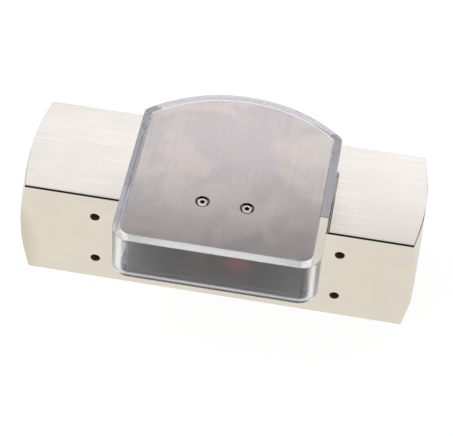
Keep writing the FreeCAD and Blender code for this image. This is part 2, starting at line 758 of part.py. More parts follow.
def make_pointer():
    """Pointer with its bearing, magnet and scale. The pointer is drawn along +Y and turned to its rest."""
    pivot = ("pivot_x", "pivot_y", "base_level")
    keep(turned_upright("pivot_pin", pivot, [
        ("0", "-pin_seat"), ("pin_radius", "-pin_seat"), ("pin_radius", "0"),
        ("pin_collar_radius", "0"), ("pin_collar_radius", "pin_collar_height"),
        ("pin_radius", "pin_collar_height"), ("pin_radius", "clip_low"), ("clip_bore", "clip_low"),
        ("clip_bore", "clip_high"), ("pin_radius", "clip_high"),
        ("pin_radius", "pin_top"), ("0", "pin_top"),
    ]))
    keep(turned_upright("pivot_clip", pivot, [
        ("clip_bore", "clip_low"), ("clip_radius", "clip_low"),
        ("clip_radius", "clip_high"), ("clip_bore", "clip_high"),
    ], "clip_wrap_angle"))
    keep(turned_upright("pointer_bush", pivot, [
        ("bush_bore", "bush_low"), ("bush_collar_radius", "bush_low"), ("bush_collar_radius", "arm_height"),
        ("bush_radius", "arm_height"), ("bush_radius", "bush_top"), ("bush_bore", "bush_top"),
    ]))

    pointer = keep(new_body("pointer", *pivot))
    tie(pointer, "Placement.Rotation.Angle", "rest_angle")
    arm = new_sketch(pointer, "XY_Plane", lift="arm_height")
    draw_polygon(arm, [
        ("-arm_root_half", "0"), ("arm_root_half", "0"),
        ("arm_tip_half", "flag_outer"), ("-arm_tip_half", "flag_outer"),
    ])
    add_pad(pointer, arm, "arm_thickness")
    hub = new_sketch(pointer, "XY_Plane", lift="arm_height")
    draw_circle(hub, "0", "0", "hub_radius")
    add_pad(pointer, hub, "arm_thickness")
    tail = new_sketch(pointer, "XY_Plane", lift="arm_height")
    draw_polygon(tail, [
        ("-tail_neck_half", "0"), ("-tail_neck_half", "-tail_neck_length"),
        ("-tail_half", "-tail_neck_length"), ("-tail_half", "-tail_corner_length"),
        ("-tail_corner_half", "-tail_length"), ("tail_corner_half", "-tail_length"),
        ("tail_half", "-tail_corner_length"), ("tail_half", "-tail_neck_length"),
        ("tail_neck_half", "-tail_neck_length"), ("tail_neck_half", "0"),
    ])
    add_pad(pointer, tail, "arm_thickness")
    flag = new_sketch(pointer, "XY_Plane", lift="arm_height")
    draw_polygon(flag, [
        ("-arm_tip_half", "flag_inner"), ("arm_tip_half", "flag_inner"),
        ("arm_tip_half", "flag_outer"), ("-arm_tip_half", "flag_outer"),
    ])
    add_pad(pointer, flag, "flag_height")
    eye = new_sketch(pointer, "XY_Plane", lift="arm_height")
    draw_circle(eye, "0", "0", "bush_radius")
    add_pocket(pointer, eye, upward=True)

    magnet = keep(new_body("pointer_magnet", *pivot))
    tie(magnet, "Placement.Rotation.Angle", "rest_angle")
    slug = new_sketch(magnet, "XY_Plane", lift="pointer_magnet_low")
    draw_circle(slug, "0", "pointer_magnet_arm", "pointer_magnet_radius")
    add_pad(magnet, slug, "pointer_magnet_height")

    scale = keep(new_body("scale_strip", *pivot))
    strip = new_sketch(scale, "YZ_Plane")
    draw_polygon(strip, [
        ("scale_radius", "-scale_groove"), ("scale_outer", "-scale_groove"),
        ("scale_outer", "scale_height"), ("scale_radius", "scale_height"),
    ])
    add_turned(scale, "Revolution", strip, "V_Axis", "scale_angle")


def make_piston():
    """Guided sleeve with a sharp-edged orifice disc at its inlet and a ring magnet held by a retainer."""
    keep(turned_on_pipe("piston", [
        ("piston_front", "insert_radius"), ("piston_front", "guide_radius"),
        ("relief_start", "guide_radius"), ("relief_start", "relief_radius"),
        ("relief_end", "relief_radius"), ("relief_end", "guide_radius"),
        ("piston_end", "guide_radius"), ("piston_end", "insert_radius"),
        ("web_end", "insert_radius"), ("web_end", "throat_radius"),
        ("disc_end", "throat_radius"), ("disc_end", "insert_radius"),
    ]))
    keep(turned_on_pipe("orifice_disc", [
        ("piston_front", "orifice_radius"), ("edge_end", "orifice_radius"), ("disc_end", "throat_radius"),
        ("disc_end", "insert_radius"), ("piston_front", "insert_radius"),
    ]))
    for label, start, end in (
        ("piston_magnet", "web_end", "magnet_end"),
        ("magnet_retainer", "magnet_end", "piston_end"),
    ):
        keep(turned_on_pipe(label, [
            (start, "throat_radius"), (end, "throat_radius"),
            (end, "insert_radius"), (start, "insert_radius"),
        ]))


def make_metering_cone():
    """Fixed cone on the pipe's axis: stop collar, short land, long taper, rod, and a stud at each end."""
    keep(turned_on_pipe("metering_cone", [
        ("-stud_end", "0"), ("-stud_end", "stud_radius"), ("-seat_face", "stud_radius"),
        ("-seat_face", "shoulder_radius"), ("collar_start", "shoulder_radius"),
        ("collar_start", "collar_radius"), ("collar_end", "collar_radius"), ("collar_end", "cone_radius"),
        ("land_end", "cone_radius"), ("cone_tail", "rod_radius"), ("seat_face", "rod_radius"),
        ("seat_face", "stud_radius"), ("stud_end", "stud_radius"), ("stud_end", "0"),
    ]))


def make_spider(label, side):
    """Plate with openings round a hub, which carries one end of the cone. A minus side is the inlet."""
    near = f"{side}seat_face"
    far = f"{side}ring_near"
    spider = keep(turned_on_pipe(label, [
        (near, "spider_bore"), (far, "spider_bore"), (far, "spider_radius"), (near, "spider_radius"),
    ]))
    opening = new_sketch(spider, "XZ_Plane")
    draw_polygon(opening, [
        (near, "spider_hub_radius"), (far, "spider_hub_radius"),
        (far, "spider_rim_radius"), (near, "spider_rim_radius"),
    ])
    cut = add_turned(spider, "Groove", opening, "H_Axis", "spider_opening_angle")
    add_polar_pattern(spider, cut, opening, "H_Axis", SPIDER_OPENINGS)


def make_nut(side):
    """Hexagon nut on one of the cone's studs."""
    nut = pipe_body("cone_nut")
    support = next(f for f in nut.Origin.OriginFeatures if f.Role == "YZ_Plane")
    start = "ring_near" if side == "" else "-nut_far"
    prism = nut.newObject("PartDesign::AdditivePrism", "nut_prism")
    prism.Polygon = NUT_SIDES
    tie(prism, "Circumradius", "nut_corner_radius")
    bore = nut.newObject("PartDesign::SubtractiveCylinder", "nut_bore")
    tie(bore, "Radius", "spider_bore")
    for feature in (prism, bore):
        tie(feature, "Height", "nut_height")
        feature.AttachmentSupport = [(support, "")]
        feature.MapMode = "FlatFace"
        tie(feature, "AttachmentOffset.Base.z", start)
    return nut


def make_retaining_ring(side):
    """Open ring that snaps into the groove beside a spider."""
    near = f"{side}ring_near"
    far = f"{side}ring_far"
    return turned_on_pipe("retaining_ring", [
        (near, "ring_inner_radius"), (far, "ring_inner_radius"),
        (far, "ring_outer_radius"), (near, "ring_outer_radius"),
    ], "ring_wrap_angle")


def make_spring():
    """Return spring between the piston and a seat ring on the outlet spider. Its wire has eight flats."""
    keep(turned_on_pipe("spring_seat", [
        ("spring_seat_face", "throat_radius"), ("seat_face", "throat_radius"),
        ("seat_face", "spring_seat_radius"), ("spring_seat_face", "spring_seat_radius"),
    ]))
    spring = keep(pipe_body("return_spring"))
    wire = new_sketch(spring, "XZ_Plane")
    draw_polygon(wire, [
        ("piston_end", "flat_inner"), ("flat_near", "coil_inner"), ("flat_far", "coil_inner"),
        ("coil_far", "flat_inner"), ("coil_far", "flat_outer"), ("flat_far", "coil_outer"),
        ("flat_near", "coil_outer"), ("piston_end", "flat_outer"),
    ])
    coil = spring.newObject("PartDesign::AdditiveHelix", "return_spring_coil")
    coil.Profile = wire
    coil.ReferenceAxis = (wire, ["H_Axis"])
    coil.Mode = "height-turns-angle"
    tie(coil, "Height", "spring_height")
    coil.Turns = SPRING_TURNS
    coil.Angle = 0


def check_document():
    """Stop if any object failed, any cut removed nothing, or any sub-part is not sound."""
    for item in doc.Objects:
        if "Invalid" in item.State or "Error" in item.State:
            raise RuntimeError(f"{item.Label} failed: {item.State}")
        if item.TypeId in ("PartDesign::Pocket", "PartDesign::Groove", "PartDesign::SubtractiveCone"):
            before = item.BaseFeature.Shape.Volume
            if before - item.Shape.Volume < LEAST_CUT:
                raise RuntimeError(f"{item.Label} cuts nothing")
    for node in nodes:
        if node.Shape.isNull() or not node.Shape.isValid() or not node.Shape.Solids:
            raise RuntimeError(f"{node.Label} has no sound shape")


make_body()
make_top_sheets()
make_indicator_case()
make_indicator_fasteners()
make_pointer()
make_piston()
make_metering_cone()
make_spider("inlet_spider", "-")
make_spider("outlet_spider", "")
new_group("cone_nuts", [make_nut("-"), make_nut("")])
new_group("retaining_rings", [make_retaining_ring("-"), make_retaining_ring("")])
make_spring()
doc.recompute()
check_document()

os.makedirs("parts", exist_ok=True)
for node in nodes:
    node.Shape.exportStep(f"parts/{node.Label}.step")
    print(f"{node.Label}: {len(node.Shape.Solids)} solid, {node.Shape.Volume:.1f} mm3")
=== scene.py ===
"""Looks of a variable area flow meter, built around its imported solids.

The solids give every size and place, in metres. This script gives them their finishes, adds the fine
pieces that the solids leave plain, and sets up the studio and the camera of the photograph.
"""

import json
import logging
import math
from contextlib import contextmanager
from dataclasses import dataclass, field, replace
from enum import Enum
from functools import lru_cache, reduce
from typing import Callable, Iterator, Optional, Sequence, Union

import bmesh
import bpy
from mathutils import Euler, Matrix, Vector

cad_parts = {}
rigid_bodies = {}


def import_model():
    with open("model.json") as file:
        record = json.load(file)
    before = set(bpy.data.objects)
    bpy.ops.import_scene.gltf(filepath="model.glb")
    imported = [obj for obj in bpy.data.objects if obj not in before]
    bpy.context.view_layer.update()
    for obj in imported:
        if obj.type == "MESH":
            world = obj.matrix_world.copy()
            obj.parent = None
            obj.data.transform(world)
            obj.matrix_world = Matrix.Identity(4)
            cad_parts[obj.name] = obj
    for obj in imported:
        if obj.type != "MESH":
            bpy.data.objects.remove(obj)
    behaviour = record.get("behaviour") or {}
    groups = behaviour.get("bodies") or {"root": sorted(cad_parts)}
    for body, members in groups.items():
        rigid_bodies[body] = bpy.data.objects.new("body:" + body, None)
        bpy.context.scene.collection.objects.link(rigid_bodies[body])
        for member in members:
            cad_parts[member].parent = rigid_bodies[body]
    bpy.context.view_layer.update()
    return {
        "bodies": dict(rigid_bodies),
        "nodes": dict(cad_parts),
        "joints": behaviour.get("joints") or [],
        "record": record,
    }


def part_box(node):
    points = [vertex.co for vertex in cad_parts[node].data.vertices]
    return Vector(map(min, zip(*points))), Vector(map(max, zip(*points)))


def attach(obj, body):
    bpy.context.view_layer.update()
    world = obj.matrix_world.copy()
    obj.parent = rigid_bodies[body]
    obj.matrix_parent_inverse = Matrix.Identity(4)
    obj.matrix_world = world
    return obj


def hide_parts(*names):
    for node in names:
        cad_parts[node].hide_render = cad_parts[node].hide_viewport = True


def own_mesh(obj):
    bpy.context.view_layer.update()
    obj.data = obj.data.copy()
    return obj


LOG = logging.getLogger("flow_meter")
MM = 0.001
METER = "meter"
MILLED_FACE = "milled_face"
WHITE = (1.0, 1.0, 1.0, 1.0)

# Widths of the soft edges between two tones.
SOFT_EDGE = 0.1 * MM
THIN_EDGE = 0.05 * MM

# Brightness of the deepest shadows, as a share of a finish's shade.
DEEP_SHADOW = 0.05

# Shares of a face's normal that tell how the face stands, and the run of an edge that counts as upright.
LEVEL_FACE = 0.9
STRAIGHT_FACE = 0.97
UPRIGHT_FACE = 0.1
UPRIGHT_RUN = 0.01 * MM

Colour = tuple[float, float, float]
Place = tuple[float, ...]
Socket = bpy.types.NodeSocket
Value = Union[Socket, float]
Tone = Union[Socket, Colour]


class Grain(Enum):
    """Waves per metre, along X, Y and Z, of the fine marks that a tool left on a face."""

    ALONG_PIPE = (30.0, 1500.0, 1500.0)
    ACROSS_PIPE = (1500.0, 30.0, 1500.0)
    TURNED_ON_PIPE = (2600.0, 60.0, 60.0)
    TURNED_UPRIGHT = (60.0, 60.0, 2600.0)
    FINE = (900.0, 900.0, 900.0)


class Element(Enum):
    """Kinds of mesh element that edit mode selects."""

    VERTEX = "VERT"
    EDGE = "EDGE"
    FACE = "FACE"


class Ray(Enum):
    """Kinds of ray by which the camera sees a thing, straight or by way of another."""

    CAMERA = "Is Camera Ray"
    GLOSSY = "Is Glossy Ray"
    TRANSMISSION = "Is Transmission Ray"


class NodeTree:
    """Shader nodes of a material or of the world, with short ways to add and join them."""

    def __init__(self, tree: bpy.types.NodeTree, coordinates: str) -> None:
        """Take over a node tree.

        Args:
            tree: The node tree.
            coordinates: Name of the coordinates that its patterns lie on.
        """
        self.tree = tree
        self.place = self.add("TexCoord").outputs[coordinates]

    def put(self, target: Socket, value: object) -> None:
        """Link an output to an input, or set the input to a number or colour.

        Args:
            target: The input.
            value: The output, number or colour.
        """
        if isinstance(value, Socket):
            self.tree.links.new(value, target)
        else:
            target.default_value = value

    def feed(self, node: bpy.types.Node, **inputs: object) -> None:
        """Fill inputs of a node.

        Args:
            node: The node.
            inputs: Names of its inputs, with underscores for spaces, and what they get.
        """
        for name, value in inputs.items():
            self.put(node.inputs[name.replace("_", " ")], value)

    def add(self, kind: str, **inputs: object) -> bpy.types.Node:
        """Add a node.

        Args:
            kind: Kind of node, without the word ShaderNode that every kind starts with.
            inputs: Names of its inputs, with underscores for spaces, and what they get.

        Returns:
            The node.
        """
        node = self.tree.nodes.new(f"ShaderNode{kind}")
        self.feed(node, **inputs)
        return node

    def noise(self, waves: Place, detail: float, shift: float = 0.0, swirl: float = 0.0) -> Socket:
        """Add a noise pattern.

        Args:
            waves: Waves per metre along X, Y and Z.
            detail: How many finer octaves are added.
            shift: Offset that sets the pattern apart from others of the same scale.
            swirl: How far the pattern is drawn out into wisps.

        Returns:
            The noise's value.
        """
        mapped = self.add("Mapping", Vector=self.place, Scale=waves, Location=(shift,) * 3)
        vector = mapped.outputs["Vector"]
        return self.add("TexNoise", Vector=vector, Scale=1.0, Detail=detail, Distortion=swirl).outputs["Fac"]

    def spread(self, value: Socket, low: Value, high: Value, start: float = 0.3, stop: float = 0.7) -> Socket:
        """Bring a value between two limits to a new range, with nothing outside it.

        Args:
            value: Value that is read.
            low: Result at start.
            high: Result at stop.
            start: Value that becomes low.
            stop: Value that becomes high.

        Returns:
            The new value.
        """
        node = self.add("MapRange", Value=value, From_Min=start, From_Max=stop, To_Min=low, To_Max=high)
        return node.outputs["Result"]

    def math(self, operation: str, *values: Value) -> Socket:
        """Combine values.

        Args:
            operation: Name of the operation, such as MULTIPLY.
            values: One or two values, sockets or numbers.

        Returns:
            The result.
        """
        node = self.add("Math")
        node.operation = operation
        for target, value in zip(node.inputs, values):
            self.put(target, value)
        return node.outputs["Value"]

    def fold(self, operation: str, values: Sequence[Value]) -> Socket:
        """Combine any number of values, one after the other."""
        return reduce(lambda first, second: self.math(operation, first, second), values)

    def mix(self, factor: Socket, first: Tone, second: Tone) -> Socket:
        """Mix two colours.

        Args:
            factor: Share of the second colour.
            first: First colour, a socket or three numbers.
            second: Second colour, a socket or three numbers.

        Returns:
            The mixed colour.
        """
        node = self.add("Mix", Factor=factor)
        node.data_type = "RGBA"
        for label, colour in (("A", first), ("B", second)):
            target = next(s for s in node.inputs if s.name == label and s.type == "RGBA")
            self.put(target, colour if isinstance(colour, Socket) else (*colour, 1.0))
        return next(s for s in node.outputs if s.type == "RGBA")

    def axis(self, letter: str) -> Socket:
        """Place along one axis of the tree's coordinates."""
        return self.add("SeparateXYZ", Vector=self.place).outputs[letter]

    def away(self, letters: str, centre: Place) -> Socket:
        """Distance from a place, measured along some of the axes.

        Args:
            letters: Those axes, such as XZ for the distance from a line along Y.
            centre: The place along them, in metres.

        Returns:
            The distance in metres.
        """
        squares = []
        for letter, middle in zip(letters, centre):
            off = self.math("SUBTRACT", self.axis(letter), middle)
            squares.append(self.math("MULTIPLY", off, off))
        return self.math("SQRT", self.fold("ADD", squares))

    def ray(self, kind: Ray) -> Socket:
        """One for rays of a kind, and nought for others."""
        return self.add("LightPath").outputs[kind.value]


class SurfaceTree(NodeTree):
    """Nodes of one new material, round a surface that the finishes fill in."""

    bevel_samples = 6

    def __init__(self, name: str) -> None:
        """Start an empty material.

        Args:
            name: Name of the material.
        """
        self.material = bpy.data.materials.new(name)
        self.material.use_nodes = True
        self.material.node_tree.nodes.clear()
        super().__init__(self.material.node_tree, "Object")
        self.surface = self.add("BsdfPrincipled")
        self.output = self.add("OutputMaterial", Surface=self.surface.outputs["BSDF"])

    def relief(self, height: Socket, depth: float, edge: float) -> None:
        """Give the surface a fine relief, and soften its edges.

        Args:
            height: Pattern of the relief.
            depth: Height of the relief in metres.
            edge: Radius in metres to which sharp edges look rounded, or nought.
        """
        bump = self.add("Bump", Strength=1.0, Distance=depth, Height=height)
        if edge > 0.0:
            bevel = self.add("Bevel", Radius=edge)
            bevel.samples = self.bevel_samples
            self.feed(bump, Normal=bevel.outputs["Normal"])
        self.feed(self.surface, Normal=bump.outputs["Normal"])

    def attribute(self, name: str) -> Socket:
        """Read one of the mesh's own attributes.

        Args:
            name: Name of the attribute.

        Returns:
            Its value at each place.
        """
        node = self.add("Attribute")
        node.attribute_name = name
        return node.outputs["Fac"]

    def fill(self, colour: Colour, density: float) -> None:
        """Fill a clear piece with a tint that deepens with the way through it."""
        tint = self.add("VolumeAbsorption", Color=(*colour, 1.0), Density=density)
        self.feed(self.output, Volume=tint.outputs["Volume"])


@dataclass(frozen=True)
class Fade:
    """Stretch of a piece, from where it starts to where it is full.

    Attributes:
        axes: Axes that it is measured along, such as Z, or XZ for a distance from lines along Y.
        none: Measure in metres at which it starts.
        full: Measure from which it is full, more or less than the other.
        centres: Places that a distance is measured from, the nearest counting. Without any, the measure
            is the place along the one axis.
    """

    axes: str
    none: float
    full: float
    centres: tuple[Place, ...] = ()

    def mask(self, tree: NodeTree) -> Socket:
        """Share of the stretch at each place.

        Args:
            tree: Material that the nodes go into.

        Returns:
            One in the stretch, and nought outside it.
        """
        if self.centres:
            measure = tree.fold("MINIMUM", [tree.away(self.axes, centre) for centre in self.centres])
        else:
            measure = tree.axis(self.axes)
        return tree.spread(measure, 0.0, 1.0, self.none, self.full)


@dataclass(frozen=True)
class Patch:
    """Part of a piece that has a colour of its own.

    Attributes:
        colour: Its colour.
        fades: Stretches that it lies in, all of them at once.
        share: How much it covers of what is under it.
    """

    colour: Colour
    fades: tuple[Fade, ...]
    share: float = 1.0

    def over(self, tree: NodeTree, under: Socket) -> Socket:
        """Lay the patch over a colour.

        Args:
            tree: Material that the nodes go into.
            under: The colour.

        Returns:
            The colour with the patch on it.
        """
        masks = [fade.mask(tree) for fade in self.fades]
        return tree.mix(tree.fold("MULTIPLY", [*masks, self.share]), under, self.colour)


@dataclass(frozen=True)
class Holes:
    """Round holes in a face, in which a finish is darkened by painted shade.

    Attributes:
        centres: Where each hole's axis crosses the face, in metres.
        radius: Radius within which it is dark.
        mouth: Place along the holes where the dark starts.
        depth: How deep the dark reaches.
        core: Radius within which it is bare again, or nought.
        across: The two axes of the face.
        along: The axis that the holes run along.
        inward: One if they run towards more along that axis, and minus one if towards less.
        mouth_edge: Depth over which the dark sets in.
    """

    centres: tuple[Place, ...]
    radius: float
    mouth: float
    depth: float
    core: float = 0.0
    across: str = "XY"
    along: str = "Z"
    inward: float = -1.0
    mouth_edge: float = 0.15 * MM

    def fades(self) -> tuple[Fade, ...]:
        """Stretches that the dark lies in.

        Returns:
            The stretches.
        """
        end = self.mouth + self.inward * self.depth
        stretches = (
            Fade(self.across, self.radius, self.radius - SOFT_EDGE, self.centres),
            Fade(self.along, self.mouth, self.mouth + self.inward * self.mouth_edge),
            Fade(self.along, end + self.inward * THIN_EDGE, end),
        )
        if self.core > 0.0:
            stretches += (Fade(self.across, self.core - SOFT_EDGE, self.core, self.centres),)
        return stretches


@dataclass(frozen=True)
class Finish:
    """Finish of a piece: tones and texture of its surface, and patches on it.

    Attributes:
        name: Name of the material.
        colour: Main colour.
        shade: Colour of its clouds, its speckle or its duller places.
        roughness: Mean roughness.
        patches: Patches of other colours, the topmost last.
    """

    name: str
    colour: Colour
    shade: Colour
    roughness: float
    patches: tuple[Patch, ...] = field(default=(), kw_only=True)

    def tones(self, tree: SurfaceTree) -> Socket:
        """Colour of the surface under its patches."""
        raise NotImplementedError

    def texture(self, tree: SurfaceTree) -> None:
        """Give the surface its gloss and its relief."""
        raise NotImplementedError

    def dark(self, level: float) -> Colour:
        """Colour of the finish in the dark, at a share of its shade."""
        return tuple(level * channel for channel in self.shade)

    def material(self) -> bpy.types.Material:
        """Build the material.

        Returns:
            The material.
        """
        tree = SurfaceTree(self.name)
        colour = self.tones(tree)
        for patch in self.patches:
            colour = patch.over(tree, colour)
        tree.feed(tree.surface, Base_Color=colour)
        self.texture(tree)
        return tree.material


@dataclass(frozen=True)
class MetalFinish(Finish):
    """Bare or plated metal with tool marks and faint clouds.

    Attributes:
        grain: Direction of the tool marks.
        grain_share: How strongly the marks show in the colour.
        grain_depth: Depth of the marks in metres.
        grain_gloss: How far the roughness varies with the marks, as a share of it.
        grain_dark: Brightness of the marks, as a share of the shade.
        grain_span: Values of the marks' pattern between which they come out in the colour.
        cloud: Size of the clouds in metres.
        cloud_span: Values of the clouds' pattern between which they come out.
        edge: Radius to which sharp edges look rounded.
    """

    grain: Grain
    grain_share: float = 0.25
    grain_depth: float = 0.004 * MM
    grain_gloss: float = 0.2
    grain_dark: float = 0.72
    grain_span: tuple[float, float] = (0.4, 0.75)
    cloud: float = 30 * MM
    cloud_span: tuple[float, float] = (0.35, 0.68)
    edge: float = 0.25 * MM

    def marks(self, tree: SurfaceTree) -> Socket:
        """Pattern of the tool marks."""
        return tree.noise(self.grain.value, detail=5.0)

    def tones(self, tree: SurfaceTree) -> Socket:
        """Colour of the metal, with its clouds and the marks in it.

        Args:
            tree: Material that the nodes go into.

        Returns:
            The colour.
        """
        clouds = tree.noise((1 / self.cloud,) * 3, detail=3.0, shift=7.3)
        base = tree.mix(tree.spread(clouds, 0.0, 1.0, *self.cloud_span), self.colour, self.shade)
        marks = tree.spread(self.marks(tree), 0.0, self.grain_share, *self.grain_span)
        return tree.mix(marks, base, self.dark(self.grain_dark))

    def texture(self, tree: SurfaceTree) -> None:
        """Let gloss and relief follow the tool marks.

        Args:
            tree: Material that the nodes go into.
        """
        marks = self.marks(tree)
        rough = [self.roughness * (1.0 + sign * self.grain_gloss) for sign in (-1, 1)]
        tree.feed(tree.surface, Metallic=1.0, Roughness=tree.spread(marks, *rough))
        tree.relief(marks, self.grain_depth, self.edge)


@dataclass(frozen=True)
class LidFinish(MetalFinish):
    """Bare lid with fine streaks, and painted reflection as warm clouds round a cooler middle.

    Attributes:
        warm: Colour of the warmer clouds.
        warm_cloud: Size of the warmer clouds in metres.
        warm_swirl: How far they are drawn out into wisps.
        warm_span: Values of their pattern between which they come out.
        cool: Colour of the cooler middle.
        cool_share: How much it covers.
        cool_centre: Centre of the cooler middle, along X and Y in metres.
        cool_full: Distance from there up to which it is full.
        cool_none: Distance at which it ends.
        cool_ragged: How far its edge goes in and out.
    """

    warm: Colour = (0.615, 0.56, 0.54)
    warm_cloud: float = 17 * MM
    warm_swirl: float = 0.6
    warm_span: tuple[float, float] = (0.38, 0.62)
    cool: Colour = (0.54, 0.495, 0.51)
    cool_share: float = 0.85
    cool_centre: tuple[float, float] = (2.0 * MM, -4.0 * MM)
    cool_full: float = 16.0 * MM
    cool_none: float = 21.0 * MM
    cool_ragged: float = 7.0 * MM

    def tones(self, tree: SurfaceTree) -> Socket:
        """Colour of the lid with its warmer clouds and its cooler middle.

        Args:
            tree: Material that the nodes go into.

        Returns:
            The colour.
        """
        clouds = tree.noise((1 / self.warm_cloud,) * 3, detail=9.0, shift=21.7, swirl=self.warm_swirl)
        colour = tree.mix(tree.spread(clouds, 0.0, 1.0, *self.warm_span), super().tones(tree), self.warm)
        ragged = tree.spread(clouds, -self.cool_ragged, self.cool_ragged)
        far = tree.math("ADD", tree.away("XY", self.cool_centre), ragged)
        middle = tree.spread(far, self.cool_share, 0.0, self.cool_full, self.cool_none)
        return tree.mix(middle, colour, self.cool)


@dataclass(frozen=True)
class SoftFinish(Finish):
    """Rubber, plastic or paint: a dull colour with a fine speckle.

    Attributes:
        depth: Depth of the surface's texture in metres.
        waves: Waves of the texture per metre.
        broad_waves: Waves per metre of the broad pattern in which the speckle comes and goes.
        span: Values of the speckle's pattern between which it comes out.
        vary: How far the roughness varies with the texture, as a share of it.
        gloss: Level of its reflections, where a half is plain plastic.
        edge: Radius to which sharp edges look rounded.
    """

    depth: float = 0.006 * MM
    waves: float = 2200.0
    broad_waves: float = 90.0
    span: tuple[float, float] = (0.15, 0.4)
    vary: float = 0.15
    gloss: float = 0.5
    edge: float = 0.15 * MM

    def speckle(self, tree: SurfaceTree) -> Socket:
        """Pattern of the fine speckle."""
        return tree.noise((self.waves,) * 3, detail=3.0)

    def tones(self, tree: SurfaceTree) -> Socket:
        """Colour with its speckle.

        Args:
            tree: Material that the nodes go into.

        Returns:
            The colour.
        """
        broad = tree.noise((self.broad_waves,) * 3, detail=2.0, shift=3.1)
        both = tree.math("MULTIPLY", self.speckle(tree), broad)
        return tree.mix(tree.spread(both, 0.0, 1.0, *self.span), self.colour, self.shade)

    def texture(self, tree: SurfaceTree) -> None:
        """Let gloss and relief follow the speckle.

        Args:
            tree: Material that the nodes go into.
        """
        fine = self.speckle(tree)
        rough = [self.roughness * (1.0 + sign * self.vary) for sign in (-1, 1)]
        tree.feed(tree.surface, Specular_IOR_Level=self.gloss, Roughness=tree.spread(fine, *rough))
        tree.relief(fine, self.depth, self.edge)


@dataclass(frozen=True)
class ClearFinish(Finish):
    """Clear moulded plastic, polished apart from its milled inside, with faint wipe marks.

    Attributes:
        index: Index of refraction.
        depth_colour: Colour that it takes on over a long way through it.
        density: How fast it takes on that colour, per metre.
        milled: Roughness of the front wall's inside.
        milled_end: Roughness there at the wall's two ends.
        middle: Place along X of the wall's middle, in metres.
        end_start: Distance from there at which the inside gets duller.
        end_full: Distance at which it is dullest.
        wipes: Waves per metre of the wipe marks, along X, Y and Z.
    """

    index: float
    depth_colour: Colour
    density: float
    milled: float
    milled_end: float
    middle: float = 0.0
    end_start: float = 18.0 * MM
    end_full: float = 36.0 * MM
    wipes: Place = (160.0, 160.0, 60.0)

    def tones(self, tree: SurfaceTree) -> Socket:
        """Colour of the light that it lets through, duller in the wipe marks."""
        wiped = tree.spread(tree.noise(self.wipes, detail=3.0), 0.0, 1.0)
        return tree.mix(wiped, self.colour, self.shade)

    def texture(self, tree: SurfaceTree) -> None:
        """Make it clear, with its dull inside and its tint.

        Args:
            tree: Material that the nodes go into.
        """
        rise = [rough - self.roughness for rough in (self.milled, self.milled_end)]
        inside = tree.spread(tree.away("X", (self.middle,)), *rise, self.end_start, self.end_full)
        dull = tree.math("MULTIPLY", tree.attribute(MILLED_FACE), inside)
        rough = tree.math("ADD", dull, self.roughness)
        tree.feed(tree.surface, IOR=self.index, Transmission_Weight=1.0, Roughness=rough)
        tree.fill(self.depth_colour, self.density)


PLATED = MetalFinish(
    "plated_body", (0.775, 0.722, 0.62), (0.735, 0.68, 0.57), 0.32, Grain.FINE, 0.03, 0.0005 * MM, 0.1
)
# Darker brown painted shade at the bar's inlet end.
INLET_SHADE = (0.60, 0.52, 0.40)
# Paler patch at the bar's upper outlet corner.
PALER_CORNER = (0.70, 0.65, 0.60)
BARE_TOP = (0.93, 0.885, 0.88)
# Painted shade on the bar's top under the clear wall's side walls.
TOP_SHADE_UNDER_WALLS = (0.46, 0.445, 0.465)
BRUSHED = MetalFinish(
    "brushed_plates", (0.93, 0.88, 0.84), (0.88, 0.825, 0.78), 0.3, Grain.ALONG_PIPE, 0.08, 0.001 * MM, 0.1
)
# The lid's warm clouds and cooler middle are painted reflection of the room.
LID = LidFinish(
    "brushed_lid", (0.555, 0.513, 0.515), (0.495, 0.454, 0.455), 0.24, Grain.ACROSS_PIPE, 0.12,
    0.0004 * MM, 0.07,
)
BASE = MetalFinish("base_metal", (0.41, 0.395, 0.395), (0.34, 0.325, 0.325), 0.24, Grain.ACROSS_PIPE, 0.3)
# Painted light on the foot of the base's edge.
BASE_FOOT_LIGHT = (0.54, 0.53, 0.56)
BRIGHT = MetalFinish("bright_steel", (0.78, 0.77, 0.75), (0.64, 0.63, 0.62), 0.24, Grain.TURNED_UPRIGHT, 0.2)
SOCKET = MetalFinish("socket_steel", (0.86, 0.85, 0.83), (0.74, 0.73, 0.72), 0.22, Grain.TURNED_UPRIGHT, 0.15)
POST = MetalFinish("post_brass", (0.76, 0.62, 0.34), (0.64, 0.50, 0.26), 0.3, Grain.TURNED_UPRIGHT, 0.25)
# Thread brass of the front holes, darkened almost to black as painted shade in the holes.
SHADED_THREAD_BRASS = MetalFinish("tapped_brass", (0.09, 0.07, 0.045), (0.05, 0.038, 0.024), 0.35, Grain.FINE, 0.2)
INSERT_BRASS = MetalFinish("insert_brass", (0.74, 0.61, 0.36), (0.62, 0.49, 0.27), 0.3, Grain.TURNED_ON_PIPE)
INSERT_STEEL = MetalFinish("insert_steel", (0.68, 0.68, 0.67), (0.55, 0.55, 0.54), 0.28, Grain.TURNED_ON_PIPE)
SPRING_STEEL = MetalFinish("spring_steel", (0.5, 0.5, 0.5), (0.38, 0.38, 0.38), 0.3, Grain.FINE)
MAGNET = SoftFinish("magnet_grey", (0.13, 0.13, 0.14), (0.2, 0.2, 0.21), 0.45)
RUBBER = SoftFinish("black_rubber", (0.008, 0.007, 0.006), (0.016, 0.014, 0.012), 0.8, gloss=0.1, edge=0.0)
GASKET = replace(RUBBER, name="black_gasket")
DUST = (0.9, 0.86, 0.82)
POINTER_RED = SoftFinish("pointer_red", (0.62, 0.035, 0.025), (0.68, 0.05, 0.04), 0.4)
